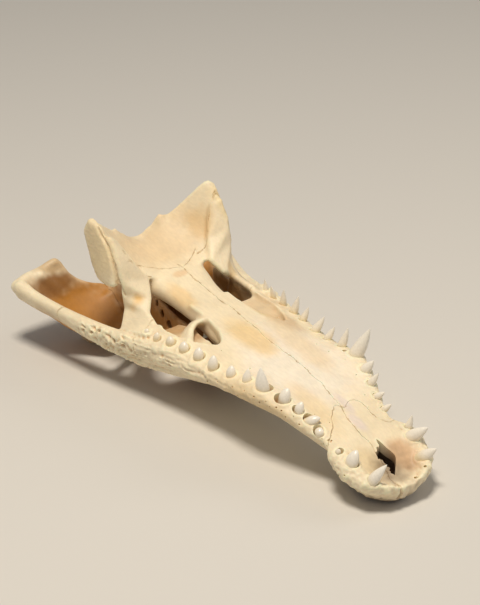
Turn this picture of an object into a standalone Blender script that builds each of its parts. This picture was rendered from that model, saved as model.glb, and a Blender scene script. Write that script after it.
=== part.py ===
"""Crocodile cranium, without its lower jaw, lying on its skull roof.

The shape is laid out in the skull's own frame, in millimetres: x to the
animal's right, y from the tip of the snout to the back, z towards the palate.
Everything is then pitched onto its resting points and scaled to metres, with
the origin on the floor under the middle of the skull.
"""
import math

import bmesh
import bpy
import numpy as np
from mathutils import Matrix, Vector

# ---------------------------------------------------------------- dimensions
MM = 0.001                      # every size below is in millimetres
PITCH = math.radians(7.45)      # the palate plane leans this much, snout down
MIDDLE_Y = 235.8                # y over the origin
REST_Y = 35.0                   # the snout rests here ...
REST_Z = -48.0                  # ... on the rim of the nostril
FLAT = 1.2                      # how much the resting points are flattened

VOXEL = 3.2                     # the bones are fused at this grain
SMOOTHING = 5
TRIANGLES = 4100                # of the fused skull, before teeth and cuts
SUTURE = 0.35                   # width of the gap between two bones
SECTION_STEP = 9                # between the sections of a lofted bone

TIP_LENGTH = 45.0               # from the tip to the widest premaxilla
TIP_ROUND = 2.3                 # exponent of the rounded end, 2 is an ellipse
PALATE_SQUARE = 3.2             # the same for the palate's side of a section
DISH = (0.86, 0.41)             # the palate sinks between these shares of the half width

# each curve runs along the skull: (y, value)
HALF_WIDTH = [(45, 46), (58, 45), (73, 37), (96, 45), (126, 56), (150, 62.5), (190, 65),
              (232, 70), (268, 76), (300, 83)]
MARGIN_Z = [(0, -14), (20, -9), (50, -3), (84, -2), (110, 8), (135, 13.5), (150, 14),
            (190, 5), (232, 1.5), (268, -2), (300, -9)]
PALATE_Z = [(0, -16), (53, -2), (80, 1), (108, 4), (186, 6.5), (300, 4)]
SIDE_Z = [(0, -22), (20, -20), (45, -16), (75, -10), (112, 0), (140, 4), (170, -4),
          (205, -12), (245, -21), (275, -29), (300, -33)]
ROOF_Z = [(0, -30), (8, -39), (20, -46.5), (35, -50), (52, -47), (75, -41), (110, -37),
          (140, -36.5), (170, -40), (205, -45.5), (245, -56), (275, -64), (300, -71)]
SNOUT_END = 300.0

# cheek bar from the maxilla to the quadrate: (y, x, z, half thickness, half height)
CHEEK = [(222, 54, -17, 8, 14), (262, 64, -25, 8.5, 17), (300, 73, -33, 8.5, 18),
         (335, 82, -37, 8, 14), (365, 90.5, -39, 8, 12), (400, 98.5, -40, 7, 10),
         (435, 106, -41, 7, 10.5), (456, 109, -40, 8, 12)]
CHEEK_LEAN = 0.4
# palatine bar, the floor of the nasal passage: (y, half width, crest z, depth)
PALATINE = [(222, 34, 5, 12), (248, 27, 5, 18), (285, 24, 5, 22), (315, 25, 5.5, 24),
            (345, 31, 8, 26), (375, 38, 6, 26)]
# strip of roof between the eyes: (y, half width, inner face z, thickness)
BROW = [(236, 40, -44, 10), (262, 34, -51, 10), (290, 18, -59, 10), (315, 15, -66, 10),
        (338, 20, -74, 10), (357, 34, -80, 10)]

# room behind the snout, over the palate: (y, half width, lowest and highest z)
HOLLOW = [(228, 38, -40, -13), (250, 46, -46, -13), (275, 53, -53, -15), (302, 60, -59, -17)]
ORBIT = (39.0, 313.0, 21.0, 29.0)           # x, y, half width, half length
FENESTRA_TOP = (24.0, 392.0, 10.0, 14.0)    # the same, of the hole in the skull table
NARIS = (0.0, 45.0, 15.0, 17.0)             # of the nostril
INCISIVE = (0.0, 37.0, 9.0, 16.0)           # of the foramen behind the front teeth
SUBORBITAL = [(37, 231), (46, 243), (53, 260), (56, 282), (55, 303), (49, 322), (43, 336),
              (38, 348), (34, 357), (30, 348), (27, 332), (25, 312), (23, 290), (24, 268),
              (28, 246)]                    # outline x, y of the opening in the palate
CHOANA = (-5.0, 11.0, 5.0)                  # z, half width, half height, inner nostril
CORD_HOLE = (-72.0, 7.0, 6.0)               # the same, for the spinal cord

TABLE_FRONT = 360.0
TABLE_REAR = 424.0
TABLE_HALF = (42.0, 58.0)                   # half width in front and behind
TABLE_THICK = 9.0
HORN = (56.0, 432.0)                        # tip of the squamosal

WING_TIP = (70.0, 400.0, 61.0)
PTERYGOID_FRONT = 352.0
PTERYGOID_REAR = 423.0
PTERYGOID_THICK = 5.0

# teeth, (y, crown length): the last three premaxillary and all maxillary ones
TEETH = [(19, 17), (39, 17), (55, 8), (84, 9), (96, 10), (109, 13), (126, 17), (146, 27),
         (168, 18), (189, 11), (212, 16), (232, 12), (250, 13), (267, 13), (284, 12),
         (299, 9)]
FRONT_TEETH = [(24, 5, 15), (10, 1.5, 12)]  # x, y, crown of the two at the tip
TOOTH_INSET = 8.5                           # from the outer edge to a tooth's axis
TOOTH_ROOT = 5.0                            # of it in the bone
TOOTH_SIDES = 8
BIG_TEETH_END = 215.0                       # the teeth in front of this lean more
TOOTH_LEAN = (0.38, 0.12)                   # outwards, in front and behind
QUADRATE_THICK = 7.0

BONE = (0.80, 0.72, 0.55, 1.0)

# where one bone ends and the next begins, along the skull
PREMAXILLA_END = 75.0
PALATINE_START = 238.0
PALATINE_END = 350.0
FRONTAL_START = 242.0
FRONTAL_END = 352.0
FRONTAL_HALF = 34.0
JUGAL_END = 397.0
BRAIN_HALF = 24.0

BONE_MIDDLES = {
    "premaxilla_right": (25, 40, -15), "premaxilla_left": (-25, 40, -15),
    "maxilla_right": (45, 180, -10), "maxilla_left": (-45, 180, -10),
    "palatine_right": (12, 290, 0), "palatine_left": (-12, 290, 0),
    "pterygoid": (0, 395, 10),
    "ectopterygoid_right": (60, 350, 15), "ectopterygoid_left": (-60, 350, 15),
    "jugal_right": (84, 350, -40), "jugal_left": (-84, 350, -40),
    "quadrate_right": (88, 440, -50), "quadrate_left": (-88, 440, -50),
    "frontal": (0, 300, -65), "skull_table": (0, 400, -90), "braincase": (0, 400, -50)}


# ------------------------------------------------------------------- helpers
def along(keys, y):
    """Smooth value at y on a curve through its keys."""
    places = [key[0] for key in keys]
    y = min(max(y, places[0]), places[-1])
    i = max(k for k in range(len(keys) - 1) if places[k] <= y or k == 0)

    def slope(k):
        low, high = max(k - 1, 0), min(k + 1, len(keys) - 1)
        rise = np.subtract(keys[high][1:], keys[low][1:])
        return rise / (places[high] - places[low])

    span = places[i + 1] - places[i]
    t = (y - places[i]) / span
    start, end = np.array(keys[i][1:], float), np.array(keys[i + 1][1:], float)
    value = ((2 * t**3 - 3 * t**2 + 1) * start + (t**3 - 2 * t**2 + t) * span * slope(i)
             + (3 * t**2 - 2 * t**3) * end + (t**3 - t**2) * span * slope(i + 1))
    return value if len(value) > 1 else float(value[0])


def snout_half_width(y):
    if y >= TIP_LENGTH:
        return along(HALF_WIDTH, y)
    ahead = max(0.0, (TIP_LENGTH - y) / TIP_LENGTH)
    return HALF_WIDTH[0][1] * (1 - min(ahead, 1.0)**TIP_ROUND)**(1 / TIP_ROUND)


def floor_z(y):
    """The plane that the skull lies on, in the skull's own frame."""
    return REST_Z - (y - REST_Y) * math.tan(PITCH)


def mesh_object(name, bm, collection):
    mesh = bpy.data.meshes.new(name)
    bm.to_mesh(mesh)
    bm.free()
    obj = bpy.data.objects.new(name, mesh)
    collection.objects.link(obj)
    return obj


def loft(bm, rings):
    """Closed body through rings of equal count."""
    loops = [[bm.verts.new(point) for point in ring] for ring in rings]
    for near, far in zip(loops, loops[1:]):
        for k in range(len(near)):
            j = (k + 1) % len(near)
            bm.faces.new((near[k], near[j], far[j], far[k]))
    bm.faces.new(list(reversed(loops[0])))
    bm.faces.new(loops[-1])


def ellipse_ring(centre, across, up, half_across, half_up, count=14, power=2.0):
    centre, across, up = Vector(centre), Vector(across), Vector(up)
    ring = []
    for k in range(count):
        angle = 2 * math.pi * k / count
        c, s = math.cos(angle), math.sin(angle)
        sideways = math.copysign(abs(c)**(2 / power), c) * half_across
        upwards = math.copysign(abs(s)**(2 / power), s) * half_up
        ring.append(centre + across * sideways + up * upwards)
    return ring


def hull(bm, balls):
    """Convex skin round balls (x, y, z, radius)."""
    part = bmesh.new()
    for x, y, z, radius in balls:
        place = Matrix.Translation((x, y, z))
        bmesh.ops.create_icosphere(part, subdivisions=2, radius=radius, matrix=place)
    skin = bmesh.ops.convex_hull(part, input=part.verts)
    spare = [e for e in skin["geom_interior"] + skin["geom_unused"]
             if isinstance(e, bmesh.types.BMVert)]
    bmesh.ops.delete(part, geom=list(set(spare)), context="VERTS")
    copy_into(bm, part)


def chain(bm, balls):
    for pair in zip(balls, balls[1:]):
        hull(bm, pair)


def copy_into(bm, part):
    bmesh.ops.recalc_face_normals(part, faces=part.faces)
    scratch = bpy.data.meshes.new("scratch")
    part.to_mesh(scratch)
    part.free()
    bm.from_mesh(scratch)
    bpy.data.meshes.remove(scratch)


def sheet(bm, rows, thickness):
    """Surface through rows of points, thickened to both sides."""
    part = bmesh.new()
    grid = [[part.verts.new(point) for point in row] for row in rows]
    for near, far in zip(grid, grid[1:]):
        for k in range(len(near) - 1):
            part.faces.new((near[k], near[k + 1], far[k + 1], far[k]))
    bmesh.ops.recalc_face_normals(part, faces=part.faces)
    part.normal_update()
    for vert in part.verts:
        vert.co -= vert.normal * (thickness / 2)
    bmesh.ops.solidify(part, geom=part.faces[:], thickness=-thickness)
    copy_into(bm, part)


def mirrored(balls):
    return [(-x, y, z, radius) for x, y, z, radius in balls]


def both_sides(bm, make, balls):
    make(bm, balls)
    make(bm, mirrored(balls))


# ------------------------------------------------------------ bones, as fused
def snout_ring(y, count=36):
    half = max(snout_half_width(y), 4.0)
    side, margin = along(SIDE_Z, y), along(MARGIN_Z, y)
    palate, roof = along(PALATE_Z, y), along(ROOF_Z, y)
    ring = []
    for k in range(count):
        angle = 2 * math.pi * (k + 0.5) / count
        c, s = math.cos(angle), math.sin(angle)
        x = math.copysign(abs(c)**(2 / PALATE_SQUARE), c)
        if s > 0:
            inner = min(max((DISH[0] - abs(x)) / (DISH[0] - DISH[1]), 0.0), 1.0)
            dish = (palate - margin) * inner * inner * (3 - 2 * inner)
            arch = (1 - abs(x)**PALATE_SQUARE)**(1 / PALATE_SQUARE)
            z = side + (margin - side) * arch + dish
        else:
            z = side - (side - roof) * (1 - x * x)
        ring.append((x * half, y, z))
    return ring


def snout(bm):
    part = bmesh.new()
    steps = [1.5, 4, 8, 14, 21, 29] + list(range(38, int(SNOUT_END) + 1, SECTION_STEP))
    loft(part, [snout_ring(y) for y in steps])
    copy_into(bm, part)


def cheeks(bm):
    for side in (1, -1):
        part = bmesh.new()
        rings = []
        for y in range(CHEEK[0][0], CHEEK[-1][0] + 1, SECTION_STEP):
            x, z, thick, tall = along(CHEEK, y)
            upward = Vector((side * CHEEK_LEAN, 0, 1)).normalized()
            outward = Vector((0, 1, 0)).cross(upward)
            rings.append(ellipse_ring((side * x, y, z), outward, upward, thick, tall, 16,
                                      2.4))
        loft(part, rings)
        copy_into(bm, part)


def bars(bm):
    """The palatine bar and the strip of roof between the eyes."""
    for keys in (PALATINE, BROW):
        part = bmesh.new()
        rings = []
        for y in range(keys[0][0], keys[-1][0] + 1, SECTION_STEP):
            half, face, depth = along(keys, y)
            rings.append(ellipse_ring((0, y, face - depth / 2), (1, 0, 0), (0, 0, 1), half,
                                      depth / 2, 20, 2.6))
        loft(part, rings)
        copy_into(bm, part)


def skull_table(bm):
    """Flat roof over the braincase, which carries the resting skull."""
    radius = TABLE_THICK / 2
    balls = []
    for half, y in zip(TABLE_HALF, (TABLE_FRONT, TABLE_REAR)):
        for side in (1, -1):
            balls.append((side * (half - radius), y, floor_z(y) + radius, radius))
    hull(bm, balls)
    x, y = HORN
    both_sides(bm, hull, [(42, 408, floor_z(408) + 6, 6), (x - 4, 414, floor_z(414) + 6, 6),
                          (x - 5, y - 5, floor_z(y - 5) + 5, 5)])


def postorbital_bars(bm):
    both_sides(bm, chain, [(40, 361, -82, 7), (52, 356, -72, 5.5), (66, 350, -58, 5.5),
                           (76, 346, -48, 7)])


def braincase(bm):
    hull(bm, [(0, 368, -78, 13), (0, 425, -78, 13), (0, 376, -16, 12), (0, 421, -20, 12)])
    hull(bm, [(12, 385, -78, 9), (-12, 385, -78, 9), (16, 424, -76, 9), (-16, 424, -76, 9),
              (10, 424, -28, 9), (-10, 424, -28, 9)])
    chain(bm, [(0, 424, -54, 12), (0, 437, -54, 10)])
    both_sides(bm, hull, [(20, 424, -72, 8), (54, 428, -80, 7), (52, 430, -68, 6),
                          (18, 424, -56, 7)])
    both_sides(bm, chain, [(6, 380, -82, 8), (17, 294, -60, 5)])


def pillars(bm):
    both_sides(bm, chain, [(19, 288, -60, 6), (16, 290, -40, 5), (14, 294, -10, 6)])


def quadrates(bm):
    """Dished plate from the braincase to the jaw joint, open side up."""
    rows = []
    keys = [  # (y, then x and z at the cheek, two places between, and the inner edge)
        (376, 62, -72, 52, -77, 40, -78, 22, -74),
        (400, 86, -58, 72, -70, 52, -74, 22, -66),
        (420, 101, -48, 86, -60, 62, -66, 22, -58),
        (438, 108, -42, 92, -52, 66, -57, 22, -52),
        (445, 110, -40, 94, -46, 72, -51, 40, -47),
        (453, 111, -38, 96, -39, 78, -41, 54, -38),
        (462, 112, -36, 97, -31, 80, -29, 61, -25)]
    for y in range(376, 463, 7):
        values = along(keys, y)
        rows.append([(values[2 * k], y, values[2 * k + 1]) for k in range(4)])
    for side in (1, -1):
        curved = []
        for row in rows:
            ends = [(k, side * x, y, z) for k, (x, y, z) in enumerate(row)]
            curved.append([tuple(along(ends, t / 3)) for t in range(10)])
        sheet(bm, curved, QUADRATE_THICK)
    condyle = [(111, 459, -38, 8), (98, 461, -31, 7), (82, 462, -29, 7), (66, 463, -26, 8)]
    both_sides(bm, chain, condyle)
    both_sides(bm, chain, [(52, 428, -78, 8), (60, 436, -68, 8), (76, 452, -48, 9),
                           (86, 460, -34, 8)])


def pterygoid_z(x, y):
    """Height of the pterygoid's dish, whose sides rise into the two wings."""
    out = min(abs(x) / WING_TIP[0], 1.0)
    back = min(max((y - PTERYGOID_FRONT) / (WING_TIP[1] - PTERYGOID_FRONT), 0.0), 1.3)
    lift = 14 + (WING_TIP[2] - 19) * back
    lip = 7.0 * back**3 * math.exp(-((abs(x) - 30) / 14)**2)
    return 5 + lift * out**1.7 + lip


def pterygoid(bm):
    rows = []
    for step in range(15):
        x = WING_TIP[0] * (step / 7 - 1)
        out = abs(x) / WING_TIP[0]
        rear = PTERYGOID_REAR - (PTERYGOID_REAR - WING_TIP[1]) * out**1.6
        front = PTERYGOID_FRONT - 6 + 20 * out**2
        row = []
        for t in range(9):
            y = front + (rear - front) * t / 8
            row.append((x, y, pterygoid_z(x, y) - PTERYGOID_THICK / 2))
        rows.append(row)
    sheet(bm, rows, PTERYGOID_THICK)
    torus = [(70, 364, 18, 4), (70, 378, 10, 5), (69, 392, 26, 5), (70, 404, 44, 4),
             (69, 398, 57, 4), (67, 372, 44, 4), (66, 358, 30, 4)]
    both_sides(bm, hull, torus)


def ectopterygoids(bm):
    """Plate from the wing down to the cheek, between its outer and inner edge."""
    levels = [  # outer edge x, y, z, then inner edge
        (68, 388, 59, 60, 388, 52), (67, 370, 46, 54, 372, 34), (67, 358, 28, 46, 361, 18),
        (66, 353, 13, 39, 350, 9), (66, 348, -3, 41, 336, -2), (70, 341, -15, 49, 324, -11),
        (79, 327, -25, 58, 300, -13)]
    for upper, lower in zip(levels, levels[1:]):
        balls = [point + (4,) for level in (upper, lower) for point in (level[:3], level[3:])]
        both_sides(bm, hull, balls)


# ------------------------------------------------------------------ openings
def upright_cutter(bm, oval, low, high, sides=(1,)):
    """Oval hole from z = low to z = high."""
    x, y, half_x, half_y = oval
    for side in sides:
        part = bmesh.new()
        loft(part, [ellipse_ring((side * x, y, z), (1, 0, 0), (0, 1, 0), half_x, half_y, 20)
                    for z in (low, high)])
        copy_into(bm, part)


def level_cutter(bm, oval, front, back):
    """Oval hole along the skull from y = front to y = back."""
    z, half_x, half_z = oval
    part = bmesh.new()
    loft(part, [ellipse_ring((0, y, z), (1, 0, 0), (0, 0, 1), half_x, half_z, 12)
                for y in (front, back)])
    copy_into(bm, part)


def suborbital_cutter(bm, side):
    """Opening in the palate beside the palatine bar."""
    part = bmesh.new()
    loft(part, [[(side * x, y, z) for x, y in SUBORBITAL] for z in (-22, 30)])
    copy_into(bm, part)


def hollow_cutter(bm):
    """The room behind the eyes and over the palate, open to the back."""
    part = bmesh.new()
    rings = []
    for y, half, low, high in HOLLOW:
        rings.append(ellipse_ring((0, y, (low + high) / 2), (1, 0, 0), (0, 0, 1), half,
                                  (high - low) / 2, 20, 2.8))
    loft(part, rings)
    copy_into(bm, part)


def shell_openings(bm):
    """The room behind the snout, the eye sockets, the nostril and the front foramen."""
    hollow_cutter(bm)
    upright_cutter(bm, ORBIT, -130, -40, (1, -1))
    upright_cutter(bm, NARIS, -80, -30)
    upright_cutter(bm, INCISIVE, -34, 20)


def skull_openings(bm):
    """Openings of the palate and table, the spinal cord's hole, the inner nostril."""
    for side in (1, -1):
        suborbital_cutter(bm, side)
    upright_cutter(bm, FENESTRA_TOP, -130, -76, (1, -1))
    level_cutter(bm, CHOANA, 403, 440)
    level_cutter(bm, CORD_HOLE, 418, 450)


# ---------------------------------------------------------------------- teeth
def tooth(bm, x, y, z, crown, outward, forward):
    axis = Vector((outward, -forward, 1.0)).normalized()
    turn = axis.to_track_quat("Z", "Y").to_matrix().to_4x4()
    radius = 1.6 + 0.17 * crown
    centre = Vector((x, y, z)) + axis * (crown - TOOTH_ROOT) / 2
    part = bmesh.new()
    bmesh.ops.create_cone(part, cap_ends=True, segments=TOOTH_SIDES, radius1=radius,
                          radius2=0.7, depth=crown + TOOTH_ROOT,
                          matrix=Matrix.Translation(centre) @ turn)
    copy_into(bm, part)


def teeth(bm):
    for y, crown in TEETH:
        x = snout_half_width(y) - TOOTH_INSET
        lean = TOOTH_LEAN[0] if y < BIG_TEETH_END else TOOTH_LEAN[1]
        for side in (1, -1):
            tooth(bm, side * x, y, along(MARGIN_Z, y) - 1.5, crown, side * lean, lean * 0.6)
    for x, y, crown in FRONT_TEETH:
        for side in (1, -1):
            tooth(bm, side * x, y + 7, along(MARGIN_Z, y) - 3, crown, side * 0.15, 0.6)


# -------------------------------------------------------------------- sutures
def blade(bm, centre, normal, along_axis, half_along, half_across):
    """Thin rectangular blade that parts two bones."""
    normal = Vector(normal).normalized()
    first = Vector(along_axis)
    first = (first - normal * first.dot(normal)).normalized()
    second = normal.cross(first)
    turn = Matrix((first, second, normal)).transposed().to_4x4()
    size = Matrix.Diagonal((2 * half_along, 2 * half_across, SUTURE, 1))
    bmesh.ops.create_cube(bm, size=1.0, matrix=Matrix.Translation(centre) @ turn @ size)


def sutures():
    """Blades along the seams between the bones: centre, normal, direction, half sizes."""
    X, Y, Z = (1, 0, 0), (0, 1, 0), (0, 0, 1)
    table = floor_z(400) + TABLE_THICK + 3
    single = [
        ((0, 116, -30), X, Y, 126.2, 60),                   # left from right, snout
        ((0, 294, -8), X, Y, 56, 19),                       # left from right, palatines
        ((0, PREMAXILLA_END, -20), Y, X, 60, 50),           # premaxillae from maxillae
        ((0, PALATINE_START, -5), Y, X, 36, 20),            # maxillae from palatines
        ((0, PALATINE_END, -4), Y, X, 33.5, 24),            # palatines from pterygoid
        ((0, FRONTAL_START, -60), Y, X, FRONTAL_HALF, 32),  # nasals from frontal
        ((0, FRONTAL_END, -82), Y, X, 40, 18),              # frontal from skull table
        ((0, 400, table), (0, math.tan(PITCH), 1), X, 80, 50),
        ((0, 393, -14), Z, Y, 53, 42)]                      # braincase from pterygoid
    paired = [
        ((FRONTAL_HALF, 266, -60), X, Y, 24.2, 32),         # frontal from lacrimal
        ((16, 291, -30), Z, X, 10, 12),                     # pillar from palatine
        ((68, 377, 46), (0, -0.72, 0.70), X, 36, 37),       # ectopterygoid from the wing
        ((59, 355, 8), (0, -0.98, 0.19), X, 29, 27),        # and from the plate below it
        ((32, 354, 2), X, Y, 9, 24),                        # and beside the palatine
        ((63, 325, -15), (0.45, -0.62, -0.64), (0.62, 0.73, -0.23), 28, 13),
        ((65, 296, -30), (0, 0.88, -0.48), X, 32.5, 36),    # maxilla from jugal
        ((97, JUGAL_END, -40), Y, X, 14, 16),               # jugal from quadratojugal
        ((BRAIN_HALF, 405, -54), X, (0, 1, -0.13), 42, 32)] # quadrate from braincase
    for seam in single:
        yield seam
    for (x, y, z), (nx, ny, nz), (ax, ay, az), half_along, half_across in paired:
        for side in (1, -1):
            yield ((side * x, y, z), (side * nx, ny, nz), (side * ax, ay, az), half_along,
                   half_across)


# ------------------------------------------------------------------- assembly
def settled(obj):
    """Object with its modifiers made real."""
    graph = bpy.context.evaluated_depsgraph_get()
    mesh = bpy.data.meshes.new_from_object(obj.evaluated_get(graph))
    obj.modifiers.clear()
    obj.data = mesh
    return obj


def built(name, collection, makers):
    """One mesh object of all that the makers add."""
    bm = bmesh.new()
    for make in makers:
        make(bm)
    return mesh_object(name, bm, collection)


def fuse(obj, smoothing=0):
    remesh = obj.modifiers.new("fuse", "REMESH")
    remesh.mode = "VOXEL"
    remesh.voxel_size = VOXEL
    if smoothing:
        smooth = obj.modifiers.new("smooth", "SMOOTH")
        smooth.iterations = smoothing
        smooth.factor = 0.5
    return settled(obj)


def combine(obj, other, operation, solver="EXACT"):
    boolean = obj.modifiers.new(operation.lower(), "BOOLEAN")
    boolean.operation = operation
    boolean.solver = solver
    boolean.object = other
    settled(obj)
    bpy.data.objects.remove(other)


def resting_floor(bm):
    """Everything under the level that the skull rests on."""
    deep = 60.0
    place = Matrix.Translation((0, REST_Y, REST_Z)) @ Matrix.Rotation(-PITCH, 4, "X")
    size = Matrix.Diagonal((400, 1400, deep, 1))
    drop = Matrix.Translation((0, 0, FLAT - deep / 2))
    bmesh.ops.create_cube(bm, size=1.0, matrix=place @ drop @ size)


def into_world():
    pitch = Matrix.Rotation(PITCH, 4, "X")
    low = pitch @ Vector((0, REST_Y, REST_Z))
    rise = Matrix.Translation((0, -MIDDLE_Y, -low.z - FLAT))
    return Matrix.Scale(MM, 4) @ rise @ pitch


def bone_material(name, colour):
    material = bpy.data.materials.new(name)
    material.use_nodes = True
    shader = material.node_tree.nodes["Principled BSDF"]
    shader.inputs["Base Color"].default_value = colour
    shader.inputs["Roughness"].default_value = 0.45
    shader.inputs["Metallic"].default_value = 0.0
    return material


def islands(bm):
    """Connected bodies of a mesh, as lists of vertices."""
    left = set(bm.verts)
    while left:
        body, front = [], [left.pop()]
        while front:
            vert = front.pop()
            body.append(vert)
            for edge in vert.link_edges:
                other = edge.other_vert(vert)
                if other in left:
                    left.remove(other)
                    front.append(other)
        yield body


def part_bones(obj, collection):
    """Each connected body becomes the bone whose middle is nearest."""
    bm = bmesh.new()
    bm.from_mesh(obj.data)
    bodies = sorted(islands(bm), key=len, reverse=True)
    world = into_world()
    for verts in bodies[:len(BONE_MIDDLES)]:
        middle = sum((v.co for v in verts), Vector()) / len(verts)
        name = min(BONE_MIDDLES, key=lambda bone: (middle - Vector(BONE_MIDDLES[bone])).length)
        keep = set(verts)
        bone = bm.copy()
        bone.verts.ensure_lookup_table()
        kept = {v.index for v in keep}
        bmesh.ops.delete(bone, geom=[v for v in bone.verts if v.index not in kept],
                         context="VERTS")
        bmesh.ops.transform(bone, matrix=world, verts=bone.verts)
        made = mesh_object(name, bone, collection)
        made.data.materials.append(bone_material("bone_" + name, BONE))
    bm.free()
    bpy.data.objects.remove(obj)


def main():
    for obj in list(bpy.data.objects):
        bpy.data.objects.remove(obj)
    parts = bpy.data.collections.new("crocodile_skull")
    bpy.context.scene.collection.children.link(parts)
    cutters = bpy.data.collections.new("cutters")
    bpy.context.scene.collection.children.link(cutters)
    skull = fuse(built("skull", parts, (snout, cheeks)))
    combine(skull, fuse(built("shell_openings", cutters, (shell_openings,))), "DIFFERENCE")
    rest = built("rest", cutters, (bars, skull_table, postorbital_bars, braincase, pillars,
                                   quadrates, pterygoid, ectopterygoids))
    combine(skull, fuse(rest), "UNION")
    combine(skull, fuse(built("skull_openings", cutters, (skull_openings,))), "DIFFERENCE")
    fuse(skull, SMOOTHING)
    thin = skull.modifiers.new("thin", "DECIMATE")
    thin.ratio = TRIANGLES / (2 * len(skull.data.polygons))
    halves = skull.modifiers.new("halves", "MIRROR")
    halves.use_bisect_axis[0] = True
    halves.merge_threshold = 0.0001
    settled(skull)
    combine(skull, built("teeth", cutters, (teeth,)), "UNION")
    combine(skull, built("floor", cutters, (resting_floor,)), "DIFFERENCE")
    for seam in sutures():
        cut = bmesh.new()
        blade(cut, *seam)
        # the blades are thin and cross each other, where the exact solver loses bones
        combine(skull, mesh_object("blade", cut, cutters), "DIFFERENCE", "MANIFOLD")
    part_bones(skull, parts)
    bpy.data.collections.remove(cutters)


main()
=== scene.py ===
# %% [markdown]
# # A crocodile cranium that lies on its roof, palate up
# The solids that this notebook loads already have the skull's real size and place, but they
# are coarse. Here each bone gets a fine surface, its real seams, sockets and teeth, and the
# colours of old dry bone. The shape is worked out once for the whole skull and parted into
# bones afterwards, because neighbouring bones then meet along their seams without a step.

# %% Load the solids and keep their box
import math

import bmesh
import bpy
import numpy as np
from mathutils import Matrix, Vector, noise
from mathutils.bvhtree import BVHTree


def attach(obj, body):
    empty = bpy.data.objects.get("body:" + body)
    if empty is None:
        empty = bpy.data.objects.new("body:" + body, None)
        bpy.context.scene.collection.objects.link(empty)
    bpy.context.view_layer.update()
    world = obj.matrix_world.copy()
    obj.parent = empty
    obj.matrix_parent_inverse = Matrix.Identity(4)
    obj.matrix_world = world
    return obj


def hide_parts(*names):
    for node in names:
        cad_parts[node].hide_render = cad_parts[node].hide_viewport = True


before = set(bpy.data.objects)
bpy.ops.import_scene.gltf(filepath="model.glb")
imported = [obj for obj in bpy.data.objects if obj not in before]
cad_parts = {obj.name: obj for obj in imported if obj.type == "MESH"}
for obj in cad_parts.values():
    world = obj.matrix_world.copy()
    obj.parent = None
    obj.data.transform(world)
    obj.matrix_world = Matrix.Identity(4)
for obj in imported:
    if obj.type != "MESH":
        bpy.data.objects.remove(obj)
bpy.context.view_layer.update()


# %% [markdown]
# ## The skull's own frame
# Bones are easier to describe along the skull than along the floor. So every size below is in
# millimetres in the skull's own frame: x to the animal's right, y from the tip of the snout to
# the back, z towards the palate. One matrix at the end pitches the skull onto the two places
# that it rests on, the nostril's rim and the flat roof behind the eyes, and scales it to metres.

# %% From the skull's frame to the floor's
PITCH = math.radians(7.45)
MIDDLE_Y = 235.8
REST_Y, REST_Z = 35.0, -48.0
FLAT = 1.2                              # how much is worn off where it rests


def floor_z(y):
    return REST_Z - (y - REST_Y) * math.tan(PITCH)


def skull_to_row():
    pitch = Matrix.Rotation(PITCH, 4, "X")
    low = pitch @ Vector((0, REST_Y, REST_Z))
    return Matrix.Scale(0.001, 4) @ Matrix.Translation((0, -MIDDLE_Y, -low.z - FLAT)) @ pitch


TO_ROW = skull_to_row()
print("tip of the snout:", [round(1000 * c, 1) for c in TO_ROW @ Vector((0, 0, -16))])

# %% [markdown]
# ## Curves along the skull
# A bone's width, height and thickness change smoothly along it. Each is a short list of
# (y, value) keys, and one function draws a smooth curve through them.

# %% Smooth curves through keys
TIP_LENGTH, TIP_ROUND = 45.0, 2.3
HALF_WIDTH = [(45, 46), (58, 45), (73, 37), (96, 45), (126, 56), (150, 62.5), (190, 65),
              (232, 70), (268, 76), (300, 83)]
MARGIN_Z = [(0, -14), (20, -9), (50, -3), (84, -2), (110, 8), (135, 13.5), (150, 14),
            (190, 5), (232, 1.5), (268, -2), (300, -9)]
PALATE_Z = [(0, -20), (20, -20), (36, -11), (53, -3), (80, 0), (108, 4), (147, 6.5), (186, 7.5),
            (220, 8), (260, 6), (300, 4)]
SIDE_Z = [(0, -22), (20, -20), (45, -16), (75, -10), (112, 0), (140, 4), (170, -4),
          (205, -12), (245, -21), (275, -29), (300, -33)]
ROOF_Z = [(0, -30), (8, -39), (20, -46.5), (35, -50), (52, -47), (75, -41), (110, -37),
          (140, -36.5), (170, -40), (205, -45.5), (245, -56), (275, -64), (300, -71)]
SNOUT_END = 300.0


def along(keys, y):
    """Values at y on a smooth curve through the keys (place, value, ...)."""
    y = min(max(y, keys[0][0]), keys[-1][0])
    i = 0
    while i < len(keys) - 2 and keys[i + 1][0] <= y:
        i += 1
    a, b = keys[i], keys[i + 1]
    before, after = keys[max(i - 1, 0)], keys[min(i + 2, len(keys) - 1)]
    span = b[0] - a[0]
    t = (y - a[0]) / span
    values = []
    for k in range(1, len(a)):
        slope_a = (b[k] - before[k]) / (b[0] - before[0]) * span
        slope_b = (after[k] - a[k]) / (after[0] - a[0]) * span
        values.append((2 * t**3 - 3 * t**2 + 1) * a[k] + (t**3 - 2 * t**2 + t) * slope_a
                      + (3 * t**2 - 2 * t**3) * b[k] + (t**3 - t**2) * slope_b)
    return values[0] if len(values) == 1 else values


def part_way(keys, share):
    """The place at a share of the way from the first key to the last."""
    return keys[0][0] + (keys[-1][0] - keys[0][0]) * share


def snout_half_width(y):
    if y >= TIP_LENGTH:
        return along(HALF_WIDTH, y)
    ahead = min((TIP_LENGTH - y) / TIP_LENGTH, 1.0)
    return HALF_WIDTH[0][1] * (1 - ahead**TIP_ROUND)**(1 / TIP_ROUND)


print("half widths in mm:", [round(snout_half_width(y), 1) for y in (10, 45, 73, 150, 300)])

# %% [markdown]
# ## Bent grids
# A snout or a cheek bar is a tube of changing section: a flat grid is rolled up, each of its
# points is moved to its place, and the ends are filled. A wing or a dish is a sheet: a grid is
# bent and given a thickness. Both start from one operator, which keeps them closed, so that they
# can be fused later. Faces could be listed by hand instead, but it's easy to get one wrong.

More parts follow.
